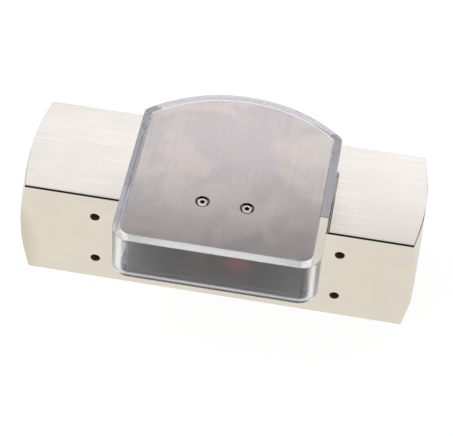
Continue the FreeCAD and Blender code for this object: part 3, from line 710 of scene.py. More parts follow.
# Pointer tail outside the red dot: unpainted, and darkened as painted shade.
TAIL_SHADE = (0.125, 0.1, 0.1)
SCALE_WHITE = SoftFinish("scale_white", (0.86, 0.86, 0.84), (0.8, 0.8, 0.78), 0.5)
SCALE_BLACK = SoftFinish("scale_black", (0.02, 0.02, 0.02), (0.05, 0.05, 0.05), 0.5)
CLEAR = ClearFinish(
    "clear_plastic", (0.985, 0.988, 0.992), (0.965, 0.97, 0.98), 0.04, 1.49, (0.5, 0.55, 0.92), 3.5, 0.3, 0.45
)
# Bluish painted shade on the clear wall's foot.
FOOT_SHADE_TINT = (0.31, 0.34, 0.56)


@lru_cache(maxsize=None)
def material_of(finish: Finish) -> bpy.types.Material:
    """Material of a finish, made once and shared by all that wear it."""
    return finish.material()


def dress(piece: bpy.types.Object, finish: Finish) -> None:
    """Give an object one finish all over.

    Args:
        piece: Object that is dressed.
        finish: Its finish.
    """
    piece.data.materials.clear()
    piece.data.materials.append(material_of(finish))
    LOG.info("%s wears %s", piece.name, finish.name)


class Workpiece:
    """Mesh that is shaped from a primitive by edit-mode operators and applied modifiers."""

    def __init__(self, name: str) -> None:
        """Take over the object that was added last, and put its place into its mesh.

        Args:
            name: Name of the piece.
        """
        self.object: bpy.types.Object = bpy.context.object
        self.object.name = name
        self.object.data.name = name
        self.apply_place()

    @classmethod
    def start(
        cls, name: str, primitive: Callable[..., set], scale: Place = (1.0, 1.0, 1.0), **settings: object
    ) -> "Workpiece":
        """Add a primitive, with nothing else selected.

        Args:
            name: Name of the piece.
            primitive: Operator that adds it.
            scale: Scale that goes into its mesh.
            settings: Settings of the operator.

        Returns:
            The piece.
        """
        cls.clear_bench()
        primitive(**settings)
        bpy.context.object.scale = scale
        return cls(name)

    @staticmethod
    def clear_bench() -> None:
        """Deselect everything."""
        bpy.ops.object.select_all(action="DESELECT")

    def take(self) -> None:
        """Select this piece alone."""
        self.clear_bench()
        self.object.select_set(True)
        bpy.context.view_layer.objects.active = self.object

    def apply_place(self) -> None:
        """Put the object's place, turn and scale into its mesh."""
        self.take()
        bpy.ops.object.transform_apply(location=True, rotation=True, scale=True)

    def discard(self) -> None:
        """Remove a piece that was only made to be copied."""
        bpy.data.objects.remove(self.object)

    @contextmanager
    def editing(self, element: Element = Element.EDGE) -> Iterator[None]:
        """Go into edit mode with nothing selected, and come out again.

        Args:
            element: Kind of element that is selected next.

        Yields:
            Nothing.
        """
        self.take()
        bpy.ops.object.mode_set(mode="EDIT")
        bpy.ops.mesh.select_mode(type=element.value)
        bpy.ops.mesh.select_all(action="DESELECT")
        yield
        bpy.ops.object.mode_set(mode="OBJECT")

    def pick(self, element: Element, test: Callable[[object], bool]) -> None:
        """Select the elements that pass a test.

        Args:
            element: Kind of element that is looked at.
            test: Says whether an element is selected.
        """
        mesh = bmesh.from_edit_mesh(self.object.data)
        for item in getattr(mesh, f"{element.value.lower()}s"):
            item.select_set(test(item))
        mesh.select_flush_mode()
        bmesh.update_edit_mesh(self.object.data)

    def bevel(self, test: Callable[[bmesh.types.BMEdge], bool], width: float, segments: int) -> None:
        """Round the edges that pass a test.

        Args:
            test: Says whether an edge is rounded.
            width: Distance from the edge to where the rounding starts.
            segments: Faces across the rounding.
        """
        with self.editing():
            self.pick(Element.EDGE, test)
            bpy.ops.mesh.bevel(offset_type="OFFSET", offset=width, segments=segments, profile=0.5)

    def modify(self, kind: str, **values: object) -> None:
        """Add a modifier and apply it.

        Args:
            kind: Kind of modifier.
            values: Its settings.
        """
        self.take()
        modifier = self.object.modifiers.new(kind.lower(), kind)
        for name, value in values.items():
            setattr(modifier, name, value)
        bpy.ops.object.modifier_apply(modifier=modifier.name)

    def wind(self, pitch: float, turns: int, steps: int) -> None:
        """Wind an outline in the XZ plane round the X axis, and close the two ends.

        Args:
            pitch: Advance along X in one turn.
            turns: Number of turns.
            steps: Segments in one turn.
        """
        self.modify(
            "SCREW", axis="X", angle=math.tau, screw_offset=pitch, iterations=turns, steps=steps,
            render_steps=steps, use_normal_calculate=True,
        )
        with self.editing():
            bpy.ops.mesh.select_non_manifold()
            bpy.ops.mesh.edge_face_add()
        self.outward()

    def outward(self) -> None:
        """Turn all faces outwards."""
        with self.editing(Element.FACE):
            bpy.ops.mesh.select_all(action="SELECT")
            bpy.ops.mesh.normals_make_consistent(inside=False)

    def smooth(self, angle: float = 35.0) -> None:
        """Shade the piece smooth over edges flatter than an angle in degrees."""
        self.take()
        bpy.ops.object.shade_smooth_by_angle(angle=math.radians(angle))

    def mark(self, name: str, measure: Callable[[bpy.types.MeshPolygon], float]) -> None:
        """Give each face a number as an attribute.

        Args:
            name: Name of the attribute.
            measure: Gives a face's number.
        """
        mesh = self.object.data
        marks = mesh.attributes.new(name, "FLOAT", "FACE")
        marks.data.foreach_set("value", [measure(face) for face in mesh.polygons])

    def copy(self, name: str, place: Sequence[float], turn: Place) -> "Workpiece":
        """Copy the piece, with a mesh of its own, to another place.

        Args:
            name: Name of the copy.
            place: How far the copy is moved.
            turn: How far it is turned about X, Y and Z through the origin, in degrees.

        Returns:
            The copy.
        """
        self.take()
        bpy.ops.object.duplicate(linked=False)
        twin = bpy.context.object
        twin.rotation_euler = Euler([math.radians(angle) for angle in turn])
        twin.location = place
        return Workpiece(name)

    @staticmethod
    def joined(name: str, pieces: Sequence["Workpiece"]) -> "Workpiece":
        """Join pieces into the first of them.

        Args:
            name: Name of the whole.
            pieces: The pieces.

        Returns:
            The whole.
        """
        whole = pieces[0]
        whole.take()
        for piece in pieces:
            piece.object.select_set(True)
        bpy.ops.object.join()
        whole.object.name = name
        return whole

    def settle(
        self, finish: Finish, slot: Optional[str] = None, replaces: Sequence[str] = ()
    ) -> bpy.types.Object:
        """Dress the finished piece and put it on the meter.

        Args:
            finish: Its finish.
            slot: Material slot of the record that it belongs to; not used.
            replaces: Solids that it stands for.

        Returns:
            The piece.
        """
        dress(self.object, finish)
        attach(self.object, METER)
        if replaces:
            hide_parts(*replaces)
        LOG.info("%s made, %d faces", self.object.name, len(self.object.data.polygons))
        return self.object


@dataclass(frozen=True)
class Thread:
    """Ridge of an inside thread, wound along +X from the origin.

    Attributes:
        root: Radius of the wall that the ridge stands on.
        crest: Radius of the ridge's inner edge.
        pitch: Advance in one turn.
        turns: Number of turns.
        steps: Segments in one turn.
        sink: How far the ridge's foot reaches into the wall.
        foot_share: Width of the foot, as a share of the pitch.
        crest_share: Width of the crest, as a share of the pitch.
    """

    root: float
    crest: float
    pitch: float
    turns: int
    steps: int
    sink: float = 0.05 * MM
    foot_share: float = 0.94
    crest_share: float = 0.2

    def build(self, name: str) -> Workpiece:
        """Build the ridge.

        Args:
            name: Name of the piece.

        Returns:
            The ridge along the X axis, its first turn at the origin.
        """
        outer = self.root + self.sink
        ridge = Workpiece.start(
            name, bpy.ops.mesh.primitive_plane_add, (self.foot_share * self.pitch, outer - self.crest, 1.0),
            size=1.0, location=(0.0, 0.0, (outer + self.crest) / 2), rotation=(math.pi / 2, 0.0, 0.0),
        )
        with ridge.editing(Element.VERTEX):
            ridge.pick(Element.VERTEX, lambda vertex: vertex.co.z < self.root - self.sink)
            narrowing = self.crest_share / self.foot_share
            bpy.ops.transform.resize(value=(narrowing, 1.0, 1.0), center_override=(0.0, 0.0, self.crest))
        with ridge.editing(Element.FACE):
            bpy.ops.mesh.select_all(action="SELECT")
            bpy.ops.mesh.delete(type="ONLY_FACE")
        ridge.wind(self.pitch, self.turns, self.steps)
        return ridge


@dataclass
class SubAssembly:
    """Part of the meter whose solids are dressed and completed together.

    Attributes:
        frame: Loaded frame.
    """

    frame: dict

    def mount(self, name: str) -> dict:
        """Entry of a mount in the record."""
        return next(entry for entry in self.frame["record"]["mounts"] if entry["name"] == name)

    def joint(self, name: str) -> dict:
        """Entry of a joint in the record."""
        return next(entry for entry in self.frame["record"]["behaviour"]["joints"] if entry["name"] == name)

    @property
    def pivot(self) -> Vector:
        """Point on the pointer's axis."""
        return Vector(self.joint("pointer_turn")["pos_m"])

    def dress_nodes(self, wardrobe: dict[Finish, Sequence[str]]) -> None:
        """Dress solids of the frame.

        Args:
            wardrobe: Finishes, each with the names of the solids that wear it.
        """
        for finish, names in wardrobe.items():
            for name in names:
                dress(self.frame["nodes"][name], finish)


@dataclass
class MeterBody(SubAssembly):
    """Bar of the meter with its top plates, and the threads cut into it.

    Attributes:
        port_thread: Pipe thread of the two ports.
        port_start: Distance from the middle of the bar to the port thread's first turn.
        hole_thread: Screw thread of the four front holes.
        hole_start: Depth of the hole thread's first turn under the front face.
        shadow_radius: Radius of the shadow in a front hole.
        shadow_depth: Depth of that shadow.
        shadow_shift: How far the shadow lies off the hole's middle, to the side that the light comes from.
        tarnish_shift: Centre of the round painted shade, along X and Z from the bar's lower inlet corner.
        tarnish_full: Distance from there up to which the painted shade is full.
        tarnish_none: Distance at which it ends.
        tarnish_share: How much the painted shade covers.
        pale_size: Width and height of the paler patch at the upper outlet corner.
        pale_edge: Width of that patch's soft edge.
        pale_share: How much the paler patch covers.
        seam: Height of the painted seam shade on the bar's sides, under the gasket.
        seam_level: Brightness of that painted shade, as a share of the plate's shade.
        side_edge: Distances from the bar's sides at which the painted seam shade starts and is full.
        strip_inner: Distance from the indicator's middle to the painted shade strips under its side walls.
        strip_edge: Width of the strips' soft edge.
        dust_start: Place along Y where dust on the gasket starts.
        dust_full: Place along Y from which dust covers the gasket.
    """

    port_thread: Thread = Thread(root=16.62 * MM, crest=15.15 * MM, pitch=2.309 * MM, turns=7, steps=72)
    port_start: float = 64.5 * MM
    hole_thread: Thread = Thread(
        root=2.0 * MM, crest=1.65 * MM, pitch=0.7 * MM, turns=15, steps=20, sink=0.02 * MM
    )
    hole_start: float = 0.6 * MM
    shadow_radius: float = 2.25 * MM
    shadow_depth: float = 20.0 * MM
    shadow_shift: float = 0.15 * MM
    tarnish_shift: tuple[float, float] = (-51.6 * MM, 12.0 * MM)
    tarnish_full: float = 54.0 * MM
    tarnish_none: float = 60.0 * MM
    tarnish_share: float = 0.65
    pale_size: tuple[float, float] = (9.7 * MM, 14.0 * MM)
    pale_edge: float = 2.0 * MM
    pale_share: float = 0.5
    seam: float = 0.45 * MM
    seam_level: float = 0.04
    side_edge: tuple[float, float] = (0.05 * MM, 0.01 * MM)
    strip_inner: float = 31.0 * MM
    strip_edge: float = 0.3 * MM
    dust_start: float = -9.0 * MM
    dust_full: float = -3.0 * MM

    @property
    def holes(self) -> list[Vector]:
        """Middles of the front holes' mouths.

        Returns:
            One place for each hole.
        """
        pattern = self.mount("panel_holes")
        across, up = (pattern["dims"][f"spacing_{letter}_mm"] * MM / 2 for letter in "xy")
        middle = Vector(pattern["pos_m"])
        return [middle + Vector((side * across, 0.0, level * up)) for side in (-1, 1) for level in (-1, 1)]

    @property
    def plated(self) -> Finish:
        """Finish of the bar and of the threads in its ports."""
        return replace(PLATED, patches=self.end_patches() + self.top_patches())

    def end_patches(self) -> tuple[Patch, ...]:
        """Painted shade at the bar's inlet end, and a paler patch at its outlet end.

        Returns:
            The patches.
        """
        low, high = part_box("body")
        centre = (low.x + self.tarnish_shift[0], low.z + self.tarnish_shift[1])
        right, above = high.x - self.pale_size[0], high.z - self.pale_size[1]
        inlet_shade = Fade("XZ", self.tarnish_none, self.tarnish_full, (centre,))
        corner = (Fade("X", right, right + self.pale_edge), Fade("Z", above, above + self.pale_edge))
        return (Patch(INLET_SHADE, (inlet_shade,), self.tarnish_share), Patch(PALER_CORNER, corner, self.pale_share))

    def top_patches(self) -> tuple[Patch, ...]:
        """Painted seam shade on the sides, and a bare top with painted shade under the indicator's walls.

        Returns:
            The patches.
        """
        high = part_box("body")[1]
        left, right = (corner.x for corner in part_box("window_ring"))
        middle, reach = (left + right) / 2, (right - left) / 2
        # Painted shade on the bar's sides just under the gasket.
        upper = Fade("Z", high.z - self.seam, high.z - self.seam + SOFT_EDGE)
        sides = [high.y - distance for distance in self.side_edge]
        side = Fade("Y", *sides, ((0.0,),))
        # In the photo the dark line ends at the wall's left side, so the left half has no dark seam.
        seams = (Fade("X", left, left - SOFT_EDGE), Fade("X", middle, middle + SOFT_EDGE))
        under = Fade("X", reach + SOFT_EDGE, reach, ((middle,),))
        top = (upper, Fade("Y", *reversed(sides), ((0.0,),)), under)
        # Strips of painted shade on the bar's top under the indicator's side walls.
        strips = Fade("X", self.strip_inner, self.strip_inner + self.strip_edge, ((middle,),))
        return (
            *(Patch(PLATED.dark(self.seam_level), (upper, side, seam)) for seam in seams),
            Patch(BARE_TOP, top),
            Patch(TOP_SHADE_UNDER_WALLS, (*top, strips)),
        )

    def dress(self) -> None:
        """Dress the bar's solids, with a shadow in the front holes and dust on the gasket."""
        places = self.holes
        shadow = Holes(
            tuple((place.x - self.shadow_shift, place.z + self.shadow_shift) for place in places),
            self.shadow_radius, places[0].y + THIN_EDGE, self.shadow_depth,
            across="XZ", along="Y", inward=1.0,
        )
        dark = Patch(PLATED.dark(DEEP_SHADOW), shadow.fades())
        dusty = Patch(DUST, (Fade("Y", self.dust_start, self.dust_full),))
        self.dress_nodes({
            replace(PLATED, patches=(*self.plated.patches, dark)): ("body",),
            BRUSHED: ("left_top_plate", "right_top_plate"),
            replace(GASKET, patches=(dusty,)): ("top_gasket",),
        })

    def port_threads(self) -> None:
        """Cut the pipe threads of the ports."""
        axis_height = self.mount("outlet_port")["pos_m"][2]
        blank = self.port_thread.build("port_thread")
        for name, turn in (("outlet_thread", 0.0), ("inlet_thread", 180.0)):
            side = math.cos(math.radians(turn))
            thread = blank.copy(name, (side * self.port_start, 0.0, axis_height), (0.0, 0.0, turn))
            thread.smooth()
            thread.settle(self.plated, "plated_brass")
        blank.discard()

    def hole_threads(self) -> None:
        """Cut the screw threads of the front holes."""
        blank = self.hole_thread.build("hole_thread")
        inward = Vector((0.0, self.hole_start, 0.0))
        turn = (0.0, 0.0, 90.0)
        threads = [blank.copy(f"hole_thread_{n}", place + inward, turn) for n, place in enumerate(self.holes)]
        blank.discard()
        whole = Workpiece.joined("front_hole_threads", threads)
        whole.smooth()
        whole.settle(SHADED_THREAD_BRASS, "plated_brass")

    def build(self) -> None:
        """Dress the bar and cut its threads."""
        self.dress()
        self.port_threads()
        self.hole_threads()


@dataclass
class Indicator(SubAssembly):
    """Indicator's own solids on the bar: base, seals, lid, scale strip and what fastens them.

    Attributes:
        counterbore: Radius of the lid's counterbores at their wall.
        counterbore_floor: Radius of their bare floor.
        counterbore_depth: Depth of their wall.
        counterbore_level: Brightness of their wall, as a share of the lid's shade.
        gap: Radius of the painted shade in the gap between their floor and the screw's head.
        gap_level: Brightness of that painted shade, as a share of the lid's shade.
        shadow: Radius of the deep shadow at a counterbore's rear.
        shadow_shift: How far that shadow lies behind the counterbore's middle.
        shadow_depth: Depth of the gap and the shadow.
        socket: Radius of the shadow in the lid screws' sockets.
        socket_depth: Depth of that shadow.
        base_level: Brightness of the painted shade on the base's edge, as a share of its shade.
        foot_none: Height over the base's lower face at which the painted light on its foot ends.
        foot_full: Height over that face up to which that painted light is full.
    """

    counterbore: float = 3.1 * MM
    counterbore_floor: float = 2.8 * MM
    counterbore_depth: float = 1.3 * MM
    counterbore_level: float = 1.1
    gap: float = 2.5 * MM
    gap_level: float = 0.15
    shadow: float = 1.4 * MM
    shadow_shift: float = 2.1 * MM
    shadow_depth: float = 1.4 * MM
    socket: float = 1.4 * MM
    socket_depth: float = 1.1 * MM
    base_level: float = 0.03
    foot_none: float = 1.3 * MM
    foot_full: float = 0.4 * MM

    def screw_shadows(self) -> tuple[tuple[Patch, ...], tuple[Patch, ...]]:
        """Shading of the lid's counterbores and of the lid screws' sockets.

        Returns:
            The lid's patches and the screws' patches.
        """
        low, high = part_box("lid_screws")
        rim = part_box("lid_plate")[1].z - SOFT_EDGE
        head = (high.y - low.y) / 2
        screws = tuple((x, low.y + head) for x in (low.x + head, high.x - head))
        behind = tuple((x, y + self.shadow_shift) for x, y in screws)
        wall = Holes(
            screws, self.counterbore, rim - SOFT_EDGE, self.counterbore_depth, self.counterbore_floor
        )
        shadow = Holes(behind, self.shadow, rim, self.shadow_depth)
        # Painted shade in the gap round each screw's head.
        gap = Holes(screws, self.gap, rim - SOFT_EDGE, self.shadow_depth)
        socket = Holes(screws, self.socket, high.z - SOFT_EDGE, self.socket_depth)
        levels = ((wall, self.counterbore_level), (shadow, DEEP_SHADOW), (gap, self.gap_level))
        lid = tuple(Patch(LID.dark(level), holes.fades()) for holes, level in levels)
        return lid, (Patch(SOCKET.dark(DEEP_SHADOW), socket.fades()),)

    def build(self) -> None:
        """Dress the indicator's solids, with painted shade on the base's edge and painted light on its foot.
        """
        counterbores, sockets = self.screw_shadows()
        floor, top = (corner.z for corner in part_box("indicator_base"))
        # Painted shade on the base's edge, and painted light on its foot.
        edge = Fade("Z", top - SOFT_EDGE, top - 2 * SOFT_EDGE)
        foot = Fade("Z", floor + self.foot_none, floor + self.foot_full)
        sides = (Patch(BASE.dark(self.base_level), (edge,)), Patch(BASE_FOOT_LIGHT, (foot,)))
        self.dress_nodes({
            replace(BASE, patches=sides): ("indicator_base",),
            replace(LID, patches=counterbores): ("lid_plate",),
            RUBBER: ("lower_seal", "upper_seal"),
            replace(SOCKET, patches=sockets): ("lid_screws",),
            BRIGHT: ("base_screws", "pivot_pin", "pivot_clip"),
            POST: ("lid_posts",),
            SCALE_WHITE: ("scale_strip",),
        })


@dataclass
class ClearWall(SubAssembly):
    """Clear wall of the indicator: straight at the front and the sides, round at the rear.

    Attributes:
        wall: Thickness of the wall.
        front_corner: Radius of the front corners outside, and faces round each.
        rear_corner: Radius of the rear corners outside, and faces round each.
        inner_rear_corner: Radius of the rear corners inside.
        edge: Rounding of the upper outer edge, and faces across it.
        foot_edge: Rounding of the lower outer edge, and faces across it.
        inner_edge: Rounding of the inner edges, and faces across it.
        lift: Room under the wall, so that it and the bar share no face.
        arc_steps: Segments in a full turn of the round side.
        corner_reach: How near to a corner's place an edge belongs to it.
        corner_share: How dull the front's inner corners are, as a share of its inside.
        haze_start: Distance from the front at which the painted shade on the foot starts.
        haze_full: Distance from the front from which that painted shade is full.
    """

    wall: float = 3.3 * MM
    front_corner: tuple[float, int] = (8.0 * MM, 14)
    rear_corner: tuple[float, int] = (3.0 * MM, 7)
    inner_rear_corner: float = 0.8 * MM
    edge: tuple[float, int] = (0.35 * MM, 5)
    foot_edge: tuple[float, int] = (0.3 * MM, 3)
    inner_edge: tuple[float, int] = (0.1 * MM, 2)
    lift: float = 0.05 * MM
    arc_steps: int = 120
    corner_reach: float = 0.7 * MM
    corner_share: float = 0.45
    haze_start: float = 14.2 * MM
    haze_full: float = 20.2 * MM

    def trimmed_disc(self) -> Workpiece:
        """Make a disc about the pointer's axis and trim it at the front and the sides.

        Returns:
            The trimmed disc.
        """
        low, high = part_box("window_ring")
        foot = low.z + self.lift
        disc = Workpiece.start(
            "clear_wall", bpy.ops.mesh.primitive_cylinder_add, vertices=self.arc_steps,
            radius=high.y - self.pivot.y, depth=high.z - foot,
            location=(self.pivot.x, self.pivot.y, (foot + high.z) / 2),
        )
        cuts = ((high, (1.0, 0.0, 0.0)), (low, (-1.0, 0.0, 0.0)), (low, (0.0, -1.0, 0.0)))
        with disc.editing():
            for corner, away in cuts:
                bpy.ops.mesh.select_all(action="SELECT")
                bpy.ops.mesh.bisect(plane_co=corner, plane_no=away, use_fill=True, clear_outer=True)
        return disc

    def hollow(self, disc: Workpiece) -> None:
        """Inset the two flat sides of a disc and join the insets by an inner wall.

        Args:
            disc: The disc.
        """
        for side in (1.0, -1.0):
            with disc.editing(Element.FACE):
                disc.pick(Element.FACE, lambda face: face.normal.z * side > LEVEL_FACE)
                bpy.ops.mesh.inset(thickness=self.wall, use_even_offset=True)
        # Of the level faces, only the two insets have more than four corners.
        with disc.editing(Element.FACE):
            disc.pick(Element.FACE, lambda face: abs(face.normal.z) > LEVEL_FACE and len(face.verts) > 4)
            bpy.ops.mesh.bridge_edge_loops()

    def round_corners(self, ring: Workpiece) -> None:
        """Round the wall's upright edges, outside and inside.

        Args:
            ring: The wall.
        """
        low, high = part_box("window_ring")
        pivot = self.pivot
        front, front_faces = self.front_corner
        rear, rear_faces = self.rear_corner
        rounds = ((0.0, front, rear), (self.wall, front - self.wall, self.inner_rear_corner))
        for inset, front_radius, rear_radius in rounds:
            reach = high.y - pivot.y - inset
            for side in (low.x + inset, high.x - inset):
                half = abs(side - pivot.x)
                ahead = Vector((side, low.y + inset))
                behind = Vector((side, pivot.y + math.sqrt(reach**2 - half**2)))
                ring.bevel(lambda edge: self.at_corner(edge, ahead), front_radius, front_faces)
                width = rear_radius * math.tan(math.acos(half / reach) / 2)
                ring.bevel(lambda edge: self.at_corner(edge, behind), width, rear_faces)

    def at_corner(self, edge: bmesh.types.BMEdge, place: Vector) -> bool:
        """Whether an edge of the wall is upright and stands at a place along X and Y."""
        start, end = (vertex.co.xy for vertex in edge.verts)
        return (end - start).length < UPRIGHT_RUN and (start - place).length < self.corner_reach

    def on_rim(self, edge: bmesh.types.BMEdge, upper: bool, outside: bool) -> bool:
        """Whether an edge of the wall lies between a flat rim and an upright side.

        Args:
            edge: The edge.
            upper: Whether the upper rim is wanted, or else the lower one.
            outside: Whether the outer side is wanted, or else the inner one.

        Returns:
            The answer.
        """
        flat = [face for face in edge.link_faces if abs(face.normal.z) > LEVEL_FACE]
        upright = [face for face in edge.link_faces if abs(face.normal.z) < UPRIGHT_FACE]
        if len(flat) != 1 or len(upright) != 1 or (flat[0].normal.z > 0) != upper:
            return False
        return (upright[0].normal.dot(edge.verts[0].co - self.pivot) > 0) == outside

    def milled(self, face: bpy.types.MeshPolygon) -> float:
        """Share of the dullness that milling left on a face of the wall.

        Args:
            face: The face.

        Returns:
            One on the front wall's inside, less in its corners, and nought elsewhere.
        """
        if face.center.y > self.pivot.y or face.normal.y < UPRIGHT_FACE:
            return 0.0
        return 1.0 if face.normal.y > STRAIGHT_FACE else self.corner_share

    def haze(self) -> Patch:
        """Painted shade on the clear wall's foot, at the left where it stands out in front of the bar.

        Returns:
            The stretch.
        """
        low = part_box("window_ring")[0]
        foot = low.z + self.lift + THIN_EDGE
        inner = low.x + self.wall
        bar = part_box("body")[0].y
        return Patch(FOOT_SHADE_TINT, (
            Fade("Z", foot + THIN_EDGE, foot),
            Fade("X", inner + SOFT_EDGE, inner),
            Fade("Y", low.y + self.haze_start, low.y + self.haze_full),
            Fade("Y", bar, bar - SOFT_EDGE),
        ))

    def build(self) -> None:
        """Build the wall, in place of its plain solid."""
        ring = self.trimmed_disc()
        self.hollow(ring)
        self.round_corners(ring)
        for upper, outer_edge in ((True, self.edge), (False, self.foot_edge)):
            ring.bevel(lambda edge: self.on_rim(edge, upper, True), *outer_edge)
            ring.bevel(lambda edge: self.on_rim(edge, upper, False), *self.inner_edge)
        ring.outward()
        ring.smooth()
        ring.modify("WEIGHTED_NORMAL", keep_sharp=True)
        ring.mark(MILLED_FACE, self.milled)
        left, right = (corner.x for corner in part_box("window_ring"))
        clear = replace(CLEAR, middle=(left + right) / 2, patches=(self.haze(),))
        ring.settle(clear, "clear_plastic", ["window_ring"])


@dataclass
class ScalePrint(SubAssembly):
    """Ticks and numbers printed on the scale strip, over the pointer's whole turn.

    Attributes:
        divisions: Divisions of the scale, with a short tick in the middle of each.
        number_step: Ticks from one number to the next.
        long_tick: Width and height of a tick at a division.
        short_tick: Width and height of a tick between two divisions.
        ink: Thickness of the ink.
        number_size: Height of the numbers' type.
        number_steps: Segments in each curve of the type.
        tick_top: Room above the ticks.
        number_foot: Room under the numbers.
    """

    divisions: int = 10
    number_step: int = 4
    long_tick: tuple[float, float] = (0.35 * MM, 2.0 * MM)
    short_tick: tuple[float, float] = (0.22 * MM, 1.3 * MM)
    ink: float = 0.03 * MM
    number_size: float = 2.6 * MM
    number_steps: int = 4
    tick_top: float = 0.4 * MM
    number_foot: float = 1.0 * MM

    def tick(self, name: str, width: float, height: float) -> Workpiece:
        """Make a tick of ink.

        Args:
            name: Name of the tick.
            width: Its width.
            height: Its height.

        Returns:
            The tick, hanging down from the origin, facing +Z.
        """
        tick = Workpiece.start(
            name, bpy.ops.mesh.primitive_plane_add, (width, height, 1.0), size=1.0,
            location=(0.0, -height / 2, 0.0),
        )
        tick.modify("SOLIDIFY", thickness=self.ink, offset=1.0)
        return tick

    def number(self, value: int) -> Workpiece:
        """Make a number of ink that stands on the origin, facing +Z.

        Args:
            value: The number.

        Returns:
            The number.
        """
        Workpiece.clear_bench()
        bpy.ops.object.text_add()
        text = bpy.context.object.data
        text.body = str(value)
        text.size = self.number_size
        text.align_x = "CENTER"
        text.extrude = self.ink / 2
        text.resolution_u = self.number_steps
        bpy.ops.object.convert(target="MESH")
        return Workpiece(f"number_{value}")

    def build(self) -> None:
        """Print ticks and numbers on the outer side of the scale strip."""
        low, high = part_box("scale_strip")
        axis = Vector((self.pivot.x, self.pivot.y, 0.0))
        radius = high.y - axis.y
        sweep = self.joint("pointer_turn")["range_deg"][1]
        ticks = [self.tick("long_tick", *self.long_tick), self.tick("short_tick", *self.short_tick)]
        marks = []
        steps = 2 * self.divisions
        for step in range(steps + 1):
            angle = sweep * (0.5 - step / steps)
            away = Vector((-math.sin(math.radians(angle)), math.cos(math.radians(angle)), 0.0))
            turn = (90.0, 0.0, 180.0 + angle)
            place = axis + radius * away
            top = place + Vector((0.0, 0.0, high.z - self.tick_top))
            marks.append(ticks[step % 2].copy(f"tick_{step}", top, turn))
            if step % self.number_step == 0:
                foot = place + Vector((0.0, 0.0, low.z + self.number_foot))
                number = self.number(step // 2)
                marks.append(number.copy(f"label_{step}", foot, turn))
                number.discard()
        for tick in ticks:
            tick.discard()
        Workpiece.joined("scale_marks", marks).settle(SCALE_BLACK)


@dataclass
class PointerUnit(SubAssembly):
    """Pointer with its bush and magnet, which turn about the pivot pin.

    Attributes:
        tail_start: Distance from the pivot at which the tail's painted shade starts.
        dot_shift: Place of the painted dot on the tail, along X and Y from the pivot.
        dot_radius: Radius of the dot.
    """

    tail_start: float = 14.5 * MM
    dot_shift: tuple[float, float] = (9.1 * MM, -16.5 * MM)
    dot_radius: float = 4.9 * MM

    def build(self) -> None:
        """Dress the pointer's solids; the tail is bare apart from the dot, and darkened as painted shade."""
        x, y = self.pivot.xy
        dot = (x + self.dot_shift[0], y + self.dot_shift[1])
        # Painted shade on the tail, outside the red dot.
        tail = Patch(TAIL_SHADE, (
            Fade("XY", self.tail_start - SOFT_EDGE, self.tail_start, ((x, y),)),
            Fade("Y", y, y - SOFT_EDGE),
            Fade("XY", self.dot_radius - SOFT_EDGE, self.dot_radius, (dot,)),
        ))
        self.dress_nodes({
            replace(POINTER_RED, patches=(tail,)): ("pointer",),
            POST: ("pointer_bush",),
            MAGNET: ("pointer_magnet",),
        })


@dataclass
class MeteringInsert(SubAssembly):
    """Insert in the bore: piston over a fixed cone, and the spring that returns it.

    Attributes:
        wire: Radius of the spring's wire.
        turns: Turns of the spring.
        steps: Segments in one turn.
        wire_steps: Segments round the wire.
    """

    wire: float = 0.65 * MM
    turns: int = 10
    steps: int = 56
    wire_steps: int = 14

    def dress(self) -> None:
        """Dress the insert's solids."""
        self.dress_nodes({
            INSERT_BRASS: ("piston",),
            INSERT_STEEL: (
                "orifice_disc", "magnet_retainer", "metering_cone", "inlet_spider", "outlet_spider",
                "cone_nuts", "spring_seat",
            ),
            MAGNET: ("piston_magnet",),
            SPRING_STEEL: ("retaining_rings",),
        })

    def spring(self) -> None:
        """Wind the return spring, at its length at rest; the mesh doesn't shorten as the piston moves."""
        low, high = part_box("return_spring")
        length = high.x - low.x
        coil = (high.z - low.z) / 2 - self.wire
        axis = (low + high) / 2
        spring = Workpiece.start(
            "coil_spring", bpy.ops.mesh.primitive_circle_add, vertices=self.wire_steps, radius=self.wire,
            location=(self.wire, 0.0, coil), rotation=(math.pi / 2, 0.0, 0.0),
        )
        spring.wind((length - 2 * self.wire) / self.turns, self.turns, self.steps)
        spring.object.location = (low.x, axis.y, axis.z)
        spring.apply_place()
        spring.smooth()
        piece = spring.settle(SPRING_STEEL, "spring_steel", ["return_spring"])
        keep = (length - self.joint("piston_slide")["range_m"][1]) / length
        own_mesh(piece)

    def build(self) -> None:
        """Dress the insert and wind its spring."""
        self.dress()
        self.spring()


